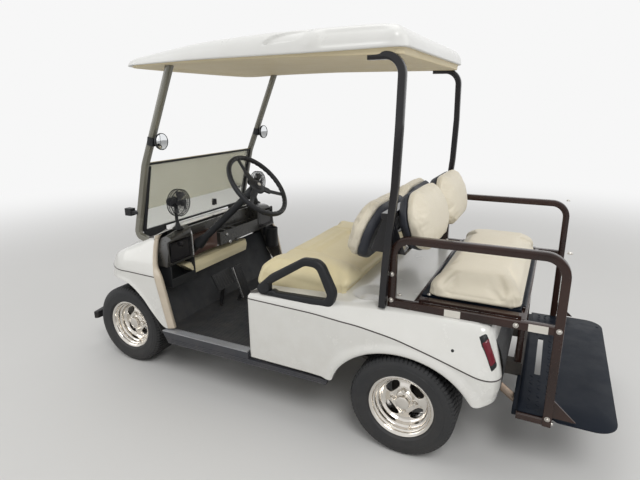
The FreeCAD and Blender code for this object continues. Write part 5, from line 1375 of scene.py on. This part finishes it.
def makeWheels(look):
    for name, (x, y, side) in corners.items():
        centre = ((x - rearAxle) / mm, y, axleHeight / mm)
        makePiece("tyre_tread_" + name, [tyrePart(look, centre, side)], "tyreRubber", "wheel_" + name,
            ["tyre_" + name], sharp=28)
        makePiece("wheel_disc_" + name, rimParts(look, centre, side), "chrome", "wheel_" + name,
            ["rim_" + name], sharp=32, outward=False)


makeWheels(wheel)
print("wheels made")


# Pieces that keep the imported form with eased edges: merged copies, flat faces joined, then a bevel
def softened(name, nodes, look, body="chassis", bevel=1.5, extra=(), warp=None):
    shape = bmesh.new()
    for label in nodes:
        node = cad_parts[label]
        copied = node.data.copy()
        copied.transform(node.matrix_world)
        shape.from_mesh(copied)
        bpy.data.meshes.remove(copied)
    bmesh.ops.remove_doubles(shape, verts=shape.verts, dist=2e-5)
    bmesh.ops.dissolve_limit(shape, angle_limit=math.radians(1), verts=shape.verts, edges=shape.edges)
    merged = bpy.data.meshes.new("merged")
    shape.to_mesh(merged)
    shape.free()
    points = fromFrame(readPoints(merged))
    if warp:
        points = warp(points)
    faces = [list(face.vertices) for face in merged.polygons]
    bpy.data.meshes.remove(merged)
    makePiece(name, [(points, faces), *extra], look, body, nodes, outward=False, sharp=30,
        bevel=bevel * mm, weld=False)


# Dash: doors with locks and frames, a hollow under the column, button, key and switch, ribbed strip
dash = {"face": 1308.5, "door": (343, 513, 655, 767), "lock": (421, 742), "recess": (86, 328, 636, 762),
    "strip": (-200, 396), "button": (16, 694), "key": (-14, 640), "toggle": (-87, 640)}


def panelFrame(x, y0, y1, z0, z1, width, proud, corner=8):
    # Raised rounded frame round an opening in the plane x: four rows lofted round the rectangle
    line = evenly(roundedLine([(y0, z0, corner), (y0, z1, corner), (y1, z1, corner), (y1, z0, corner)], True,
            6), 120, True)
    centre = np.array([(y0 + y1) / 2, (z0 + z1) / 2])
    out = (line - centre) / np.array([(y1 - y0) / 2, (z1 - z0) / 2])
    rows = []
    for grow, depth in ((0, 1), (0.5, -proud), (width - 0.5, -proud), (width, 1)):
        place = line + out * grow
        rows.append(np.stack([np.full(len(line), x + depth), place[:, 0], place[:, 1]], 1))
    return surface(np.stack(rows), False, True)


def drooped(points):
    # The top of the dash falls and narrows towards both ends
    x, y, z = points.T
    end = softStep(np.abs(y), 330, 536) * softStep(z, 690, 820)
    return np.stack([x, y - np.sign(y) * 26 * softStep(z, 690, 760) * (np.abs(y) > 480), z - 30 * end], 1)


def lowered(points):
    # Bin and holder hang lower: heights stretched down from the dash's lower edge
    x, y, z = points.T
    return np.stack([x, y, 640 - (640 - z) * np.where(y > 0, 1.5, 1.45)], 1)


def makeDash(look):
    softened("dash_shell", ["dash"], "dashPlastic", bevel=5, warp=drooped)
    softened("dash_console_shell", ["dash_console"], "dashPlastic", bevel=4)
    y0, y1, z0, z1 = look["door"]
    for sign, side in ((1, "left"), (-1, "right")):
        ends = sorted((sign * (y0 + 3), sign * (y1 - 3)))
        rim = panelFrame(1302.6, ends[0] + 7, ends[1] - 7, z0 + 9, z1 - 10, 4, 1.2)
        lockY, lockZ = sign * look["lock"][0], look["lock"][1]
        lock = turned([(0, -13), (7, -13), (8, -11), (8, -7), (13, -6), (14, -4), (14, 1), (0, 1)],
            (1302, lockY, lockZ), (1, 0, 0), 28)
        pull = block((1293, lockY - 3, lockZ - 17), (1301.6, lockY + 3, lockZ + 4))
        softened("glovebox_panel_" + side, ["glovebox_door_" + side], "glossBlack", "glovebox_" + side,
            2, [rim, lock, pull])
        bezel = panelFrame(look["face"], *sorted((sign * y0, sign * y1)), z0 - 1, z1 + 1, 7, 3.5, 9)
        makePiece("glovebox_bezel_" + side, [bezel], "dashPlastic", sharp=35)
    # Silver tube at the near end of the console: a painted highlight for light along the console's curved
    # edge
    pillar = tube([(1306, 331, 652), (1306, 331, 772), (1320, 331, 806)], 14, 4.5, (0, 1, 0))
    makePiece("dash_highlight_pillar", [pillar], "silverPaint")
    ry0, ry1, rz0, rz1 = look["recess"]
    u, v = np.meshgrid(np.linspace(-1, 1, 40), np.linspace(-1, 1, 24), indexing="ij")
    sink = (1 - np.abs(u) ** 4) * (1 - np.abs(v) ** 6)
    hollow = np.stack([1330 + 40 * sink, (ry0 + ry1) / 2 + u * (ry1 - ry0) / 2, (rz0 + rz1) / 2 + v
            * (rz1 - rz0) / 2], -1)
    makePiece("dash_recess_panel", [facing(surface(hollow), (1500, 200, 700))], "recessBrown",
        outward=False)
    x = look["face"] + 0.5
    knobs = [turned([(0, -7), (7, -7), (9, -5), (9, 0), (13, 0.6), (13, 3)], (x, *look["button"]), (1, 0, 0),
            24),
        turned([(0, -5), (9, -5), (11, -3), (12, 2)], (x, *look["key"]), (1, 0, 0), 24),
        block((x - 9, look["key"][0] - 1.5, look["key"][1] - 6),
            (x - 4, look["key"][0] + 1.5, look["key"][1] + 6))]
    makePiece("dash_key_and_button", knobs, "silverPaint", bevel=0.0004)
    plate = block((x - 2.5, look["toggle"][0] - 18, look["toggle"][1] - 11), (x + 1, look["toggle"][0] + 18,
            look["toggle"][1] + 11))
    makePiece("dash_switch_plate", [plate], "glossBlack", bevel=0.001)
    levers = [tube([(x, look["toggle"][0] + side, look["toggle"][1]), (x - 15, look["toggle"][0] + side,
                    look["toggle"][1] + 6)],
            0, 2.4) for side in (-7, 7)]
    makePiece("dash_switch_levers", levers, "silverPaint")


def makeStrip(look):
    # Ribbed shelf under the dash: cosine ribs across the upper band, a fine groove, then a smooth lower band
    low, high = look["strip"]
    height = np.linspace(606, 544, 60)
    ribs = 1.3 * np.cos((height - 606) * 2 * np.pi / 5) * (height > 578)
    faceX = 1322 - 14 * softStep(606 - height, 0, 30) - ribs + 2.5 * np.exp(-((height - 575) / 1.6) ** 2)
    front = np.stack([faceX, height], 1)
    profile = np.concatenate([[(1384, 612)], front, [(1312, 541), (1384, 541)]])
    rows = []
    for y in np.linspace(low, high, 3):
        slant = np.where(y > 0, (606 - profile[:, 1]) * 1.2, -(606 - profile[:, 1]) * 0.4)
        rows.append(np.stack([profile[:, 0], y - slant, profile[:, 1]], 1))
    makePiece("dash_ribbed_strip", [surface(np.stack(rows), False, True, ("first", "last"))], "dashCream",
        replaces=["dash_tray"], sharp=35)
    softened("dash_bin_and_holder", ["dash_bins"], "blackPlastic", bevel=2.5,
        warp=lowered)


makeDash(dash)
makeStrip(dash)
print("dash made")


# Steering: gripped rim with three spokes, hub with cap, column with a boot
steer = {"centre": (886, 280, 1066), "foot": (1420, 280, 606), "ring": 178, "grip": 12.5}


def makeSteering(look):
    centre, foot = np.array(look["centre"], float), np.array(look["foot"], float)
    way = (centre - foot) / np.linalg.norm(centre - foot)
    side = np.array([0, 1.0, 0])
    up = -np.cross(way, side)
    turn = around(240)
    ring = around(20)
    out = side * np.cos(turn)[:, None] + up * np.sin(turn)[:, None]
    grip = look["grip"] + 0.9 * np.cos(40 * turn)[:, None] * (np.cos(ring) < 0.2)[None]
    points = (centre + out * look["ring"])[:, None] + grip[..., None] * (
        out[:, None] * np.cos(ring)[None, :, None] + way * np.sin(ring)[None, :, None])
    parts = [surface(points, True, True)]
    hub = [(0, -30), (25, -30), (30, -26), (33, -16), (44, -9), (46, -4), (42, 1), (30, 4), (26, 5), (25, 9),
        (20, 11), (0, 12)]
    parts.append(turned(hub, centre - way * 3, way, 48))
    for angle in np.radians((90, 210, 330)):
        ray = side * math.cos(angle) + up * math.sin(angle)
        across = np.cross(ray, way)
        path = [centre - way * 9 + ray * 28, centre - way * 13 + ray * 90, centre - way * 4 + ray * 168]
        path = roundedLine(np.c_[path, [0, 60, 0]], False, 10)
        parts.append(sweep(path, squareRing(30, 8, 3, 3), across, sizes=np.linspace(1.25, 0.72, len(path))))
    makePiece("steering_rim_and_spokes", parts, "blackPlastic", "hand_wheel",
        ["steering_wheel"])
    nut = turned([(0, 14), (9, 14), (11, 12), (11, 8)], centre, way, 6)
    makePiece("steering_hub_nut", [nut], "boltZinc", "hand_wheel")
    length = np.linalg.norm(centre - foot)
    column = [(15, 0), (20, 0), (20, 150), (34, 152), (30, 176), (26, 200), (22, 222), (20, 230),
        (19.5, length - 96), (24, length - 92), (26, length - 80), (26, length - 40), (23, length - 36),
        (10, length - 35), (10, length - 28), (0, length - 28)]
    makePiece("steering_column_boot", [turned(column, foot, way, 40)], "blackPlastic",
        replaces=["steering_column"])


makeSteering(steer)


# Dash fans: wire cage, motor and stand on the dash; four twisted blades that turn
fan = {"x": 1330, "y": 385, "z": 960, "radius": 72, "wires": 40}


def makeFans(look):
    x, y, z, big = look["x"], look["y"], look["z"], look["radius"]
    for side, label in ((1, "left"), (-1, "right")):
        centre = np.array([x, side * y, z], float)
        parts = []
        turn = around(64)
        for radius, along, wire in ((big, 16, 2.2), (big + 1, 2, 1.6), (big, -14, 2.2),
                (big * 0.8, -21, 1.1), (big * 0.6, -25, 1.1), (big * 0.4, -27, 1.1), (big * 0.62, 21, 1.1)):
            path = centre + np.stack([0 * turn + along, radius * np.cos(turn), radius * np.sin(turn)], 1)
            parts.append(sweep(path, circle(wire, 6), (1, 0, 0), True))
        for angle in around(look["wires"]):
            wire = np.array([(24, 21), (big - 8, 20), (big, 14), (big, -12), (big - 9, -19),
                    (big * 0.5, -26), (16, -28)])
            swirl = angle + np.array([0, 0, 0, 0, 0.02, 0.12, 0.3])
            path = centre + np.stack([wire[:, 1], wire[:, 0] * np.cos(swirl), wire[:, 0] * np.sin(swirl)], 1)
            parts.append(sweep(path, circle(0.9, 4), (np.array([0, -math.sin(angle), math.cos(angle)]))))
        motor = [(0, 74), (14, 74), (22, 70), (25, 62), (25, 34), (23, 30), (27, 24), (27, 20), (0, 18)]
        parts.append(turned(motor, centre, (1, 0, 0), 36))
        parts.append(turned([(0, -31), (10, -31), (16, -28.5), (17, -26), (0, -25)], centre, (1, 0, 0), 28))
        parts.append(tube([centre + (26, 0, -14), centre + (26, 0, -90), centre + (20, 0, -130)], 30, 9))
        parts.append(turned([(0, 0), (30, 0), (30, 4), (24, 9), (14, 16), (11, 30), (0, 30)],
                centre + (22, 0, -146), (0, 0, 1), 32))
        makePiece("fan_cage_" + label, parts, "blackPlastic",
            replaces=["fan_" + label], outward=False)
        blades = [turned([(0, -13), (10, -13), (14, -9), (14, 10), (0, 10)], centre, (1, 0, 0), 28)]
        for angle in np.radians((20, 110, 200, 290)):
            reach, wide = np.meshgrid(np.linspace(12, big - 12, 12), np.linspace(-1, 1, 9), indexing="ij")
            spread = angle + wide * np.radians(np.interp(reach, [12, big - 12], [16, 30]))
            pitch = -wide * np.interp(reach, [12, big - 12], [7, 10])
            face = centre + np.stack([pitch, reach * np.cos(spread), reach * np.sin(spread)], -1)
            back = face + np.array([1.6, 0, 0])
            blades += [surface(face), (surface(back)[0], [f[::-1] for f in surface(back)[1]])]
        makePiece("fan_blades_" + label, blades, "fanGrey", "fan_blades_" + label,
            ["fan_rotor_" + label], outward=False)


makeFans(fan)
print("steering and fans made")


# Windshield: lower sheet, folded upper sheet with clips, dark channels along the struts
windscreen = {"half": 464, "wall": 5, "low": 806, "high": 1164, "fold": 918, "shift": 14}


def glassX(z):
    return 1526 - (np.asarray(z, float) - 800) * 88 / 370


def sheetPart(low, high, shift, half, wall, corner):
    # A flat sheet leaning with the struts, corners rounded, given as a thin closed solid
    line = roundedLine([(-half, low, corner), (half, low, corner), (half, high, corner),
            (-half, high, corner)], True, 6)
    rows = []
    for inset, depth in ((6, 0), (1, 0), (0, 1), (0, wall - 1), (1, wall), (6, wall)):
        place = line * (1 - inset / np.array([half, (high - low) / 2])) + np.array([0,
                (low + high) / 2]) * inset / ((high - low) / 2)
        rows.append(np.stack([glassX(place[:, 1]) + shift + depth, place[:, 0], place[:, 1]], 1))
    return surface(np.stack(rows), False, True, ("first", "last"))


def makeWindshield(look):
    half, wall = look["half"], look["wall"]
    lower = sheetPart(look["low"], look["high"], 0, half, wall, 10)
    upper = sheetPart(look["fold"], look["high"], look["shift"], half - 2, wall, 24)
    makePiece("windshield_clear_sheet", [lower], "tintedSheet",
        replaces=["windshield_lower"], sharp=50)
    makePiece("windshield_folded_sheet", [upper], "hazySheet",
        replaces=["windshield_upper"], sharp=50)
    hinge = sweep(np.array([(1444, -half, 1170), (1444, half, 1170)], float), squareRing(22, 12, 4, 3),
        (1, 0, 0))
    foot = sweep(np.array([(1528, -half, 800), (1528, half, 800)], float), squareRing(20, 12, 3, 2),
        (1, 0, 0))
    skirt = block((1519, 300, 738), (1529, half, 798))
    z = np.array([808, 1160.0])
    channel = sweep(np.stack([glassX(z) + 3, 0 * z + half - 3, z], 1), squareRing(16, 26, 3, 2), (0, 1, 0))
    latch = [block((1503, -152, 836), (1521, -122, 868)), block((1497, -144, 864), (1527, -130, 876))]
    clips = [block((1566, 472, 888), (1610, 506, 928)), block((1518, 476, 900), (1570, 502, 916))]
    bars = [hinge, foot] + bothSides([channel, skirt] + clips) + latch
    makePiece("windshield_channels", bars, "blackPlastic",
        replaces=["windshield_trim"], bevel=0.0012, sharp=35)
    edge = tube([(1440, -half + 4, 1177), (1440, half - 4, 1177)], 0, 2.2, (1, 0, 0))
    makePiece("windshield_top_edge", [edge], "dashCream")


def makeMirrors():
    # Round cup with a rolled edge, stem and clamp on each front strut; the face is a shallow dome
    centre = np.array([1320, 474, 1290], float)
    cup = [(38.6, 0.5), (40.5, -1), (42, 1), (42, 8), (39, 16), (30, 22), (14, 25), (0, 26)]
    stem = tube([centre + (24, 0, 0), centre + (48, 2, 0), centre + (64, 6, 0)], 12, 6)
    clamp = sweep(np.array([(1384, 480, 1270), (1375, 480, 1310)], float), squareRing(40, 40, 5, 2),
        (0, 1, 0))
    parts = bothSides([turned(cup, centre, (1, 0, 0), 48), stem, clamp])
    makePiece("mirror_cups", parts, "blackPlastic", replaces=["mirrors"],
        outward=False)
    face = turned([(38.8, 1.2), (30, -0.4), (18, -1.6), (0, -2.2)], centre, (1, 0, 0), 48)
    makePiece("mirror_faces", bothSides([facing(face, centre + (60, 0, 0))]), "mirrorFace",
        replaces=["mirror_glass"], outward=False)


makeWindshield(windscreen)
makeMirrors()
print("windshield and mirrors made")


# Floor, pedals, ledges and lamps
pedals = {"brake": (1222, 185, 468, 160, 100, 28, "brake_pedal"), "accelerator": (1182, 60, 424, 78, 200, 20,
        "accelerator_pedal")}


def makePedals(look):
    # Plate with raised ribs, tilted back, on an arm that runs down to the floor
    for name, (x, y, z, wide, tall, tilt, label) in look.items():
        angle = math.radians(tilt)
        turn = np.array([[math.cos(angle), 0, math.sin(angle)], [0, 1, 0],
                [-math.sin(angle), 0, math.cos(angle)]])
        centre = np.array([x, y, z], float)
        parts = [block(centre + (-6, -wide / 2, -tall / 2), centre + (6, wide / 2, tall / 2), turn, centre)]
        for k in np.linspace(-wide / 2 + 12, wide / 2 - 12, 7):
            parts.append(block(centre + (-8.6, k - 3.5, -tall / 2 + 9),
                    centre + (-5.5, k + 3.5, tall / 2 - 9), turn, centre))
        foot = centre + np.array([8, 0, -tall * 0.3])
        parts.append(tube([foot, (x + 9, y, foot[2] - 30), (x + 30, y, 300)], 12, 0, (0, 1, 0),
                squareRing(20, 16, 2, 2)))
        makePiece(name + "_pedal_plate", parts, "blackPlastic", replaces=[label], bevel=0.0015,
            sharp=30)
    edge = block((1176, 100, 326), (1188, 104, 522),
        np.array([[math.cos(0.35), 0, math.sin(0.35)], [0, 1, 0],
                [-math.sin(0.35), 0, math.cos(0.35)]]), (1182, 60, 424))
    makePiece("accelerator_bright_edge", [edge], "silverPaint", bevel=0.001)


def makeFloorParts():
    ribs = [block((790 + k * 22, -520, 289.4), (797 + k * 22, 520, 291.2)) for k in range(20)]
    softened("floor_mat_ribbed", ["floor_mat"], "matRubber", bevel=1.5, extra=ribs)
    lines = bothSides([block((772, 572 + k * 8, 310.6), (1308, 575 + k * 8, 312.2)) for k in range(5)])
    softened("ledge_plates", ["rocker_ledges"], "ledgeAlloy", bevel=1.6, extra=lines)
    softened("rocker_covers", ["rocker_panels"], "rockerGrey", bevel=3)
    softened("back_frame_tubes", ["back_frame"], "glossBlack", bevel=2)
    softened("bumper_bar", ["front_bumper"], "blackPlastic", bevel=5)
    softened("seat_board", ["rear_seat_board"], "plateBlack", "rear_seat", 1.5)


# Tail lamps: matching points down the front and rear edge of the lens, on the skin of the body
tailLamp = {"front": [(-297, 571, 611), (-311, 579, 580), (-325, 582, 549), (-340, 583, 512),
        (-352, 582, 481)],
    "rear": [(-311, 557, 624), (-325, 562, 592), (-338, 565, 560), (-352, 562, 522), (-363, 557, 487)],
    "away": (-0.62, 0.72, 0.3), "mark": ((-197, 603, 538), (-0.08, 0.9, 0.43))}


def lampPatch(look, down, across, height):
    # Patch between the two edges: a rim under the skin, then a crown of the given height
    down, across = np.linspace(*down, 40), np.linspace(*across, 14)
    share = np.linspace(0, 1, 5)
    edges = []
    for name in ("front", "rear"):
        table = np.asarray(look[name], float)
        slope = [(table[1] - table[0]) * 4, (table[-1] - table[-2]) * 4]
        line = np.stack([np.interp(down, share, table[:, k]) for k in range(3)], 1)
        line += np.minimum(down, 0)[:, None] * slope[0] + np.maximum(down - 1, 0)[:, None] * slope[1]
        edges.append(line)
    t = across[None, :, None]
    grid = edges[0][:, None] * (1 - t) + edges[1][:, None] * t
    s = np.linspace(0, 1, 40)[:, None]
    u = np.linspace(0, 1, 14)[None]
    crown = np.minimum(1, 9 * np.minimum(s, 1 - s)) * np.minimum(1, 3.2 * np.minimum(u, 1 - u))
    lift = -5 + (5 + height) * np.sqrt(crown)
    return surface(grid + lift[..., None] * np.array(look["away"]))


def makeTailLamps(look):
    makePiece("tail_lamp_lenses", bothSides([lampPatch(look, (0.12, 0.88), (-0.5, 1.02), 9)]), "lampRed",
        replaces=["tail_lamps"])
    mark = turned([(0, 0), (7, 0), (7, 1.6), (5, 2.4), (0, 2.6)], *look["mark"], 20)
    makePiece("tail_lamp_bezels", bothSides([lampPatch(look, (-0.02, 1.02), (-0.54, 1.06), 6), mark]),
        "blackPlastic")
    softened("headlamp_lenses", ["headlamps"], "lampClear", bevel=3)


makePedals(pedals)
makeFloorParts()
makeTailLamps(tailLamp)
print("floor parts and lamps made")


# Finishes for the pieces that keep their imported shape
nodeFinish = {
    "blackPlastic": "accelerator_pedal armrests brake_pedal dash_bins fan_left fan_right fan_rotor_left "
    "fan_rotor_right floor_pan front_bumper mirrors steering_column steering_wheel windshield_trim",
    "glossBlack": "back_frame front_struts rear_struts",
    "dashPlastic": "dash dash_console glovebox_door_left glovebox_door_right",
    "dashCream": "dash_tray",
    "castIron": "engine",
    "exhaustSteel": "exhaust",
    "matRubber": "floor_mat",
    "plateBlack": "footplate rear_seat_board",
    "chassisPaint": "frame front_axle knuckle_left knuckle_right rear_axle rear_suspension",
    "backShell": "front_back_shells rear_back_shells",
    "seatPale": "front_backs rear_backs rear_seat_cushion",
    "whiteGelcoat": "front_cowl rear_body",
    "lampClear": "headlamps",
    "kitEnamel": "kit_frame",
    "mirrorFace": "mirror_glass",
    "ledgeAlloy": "rocker_ledges",
    "rockerGrey": "rocker_panels",
    "roofWhite": "roof",
    "roofCream": "roof_liner",
    "seatCream": "seat_cushion",
    "lampRed": "tail_lamps",
    "steelDull": "tie_rod",
    "tintedSheet": "windshield_lower windshield_upper",
    "tyreRubber": "tyre_front_left tyre_front_right tyre_rear_left tyre_rear_right",
    "chrome": "rim_front_left rim_front_right rim_rear_left rim_rear_right",
}
lookOfNode = {name: look for look, names in nodeFinish.items() for name in names.split()}
for name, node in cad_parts.items():
    node.data.materials.clear()
    node.data.materials.append(finish[lookOfNode[name]])
print("node finishes set")
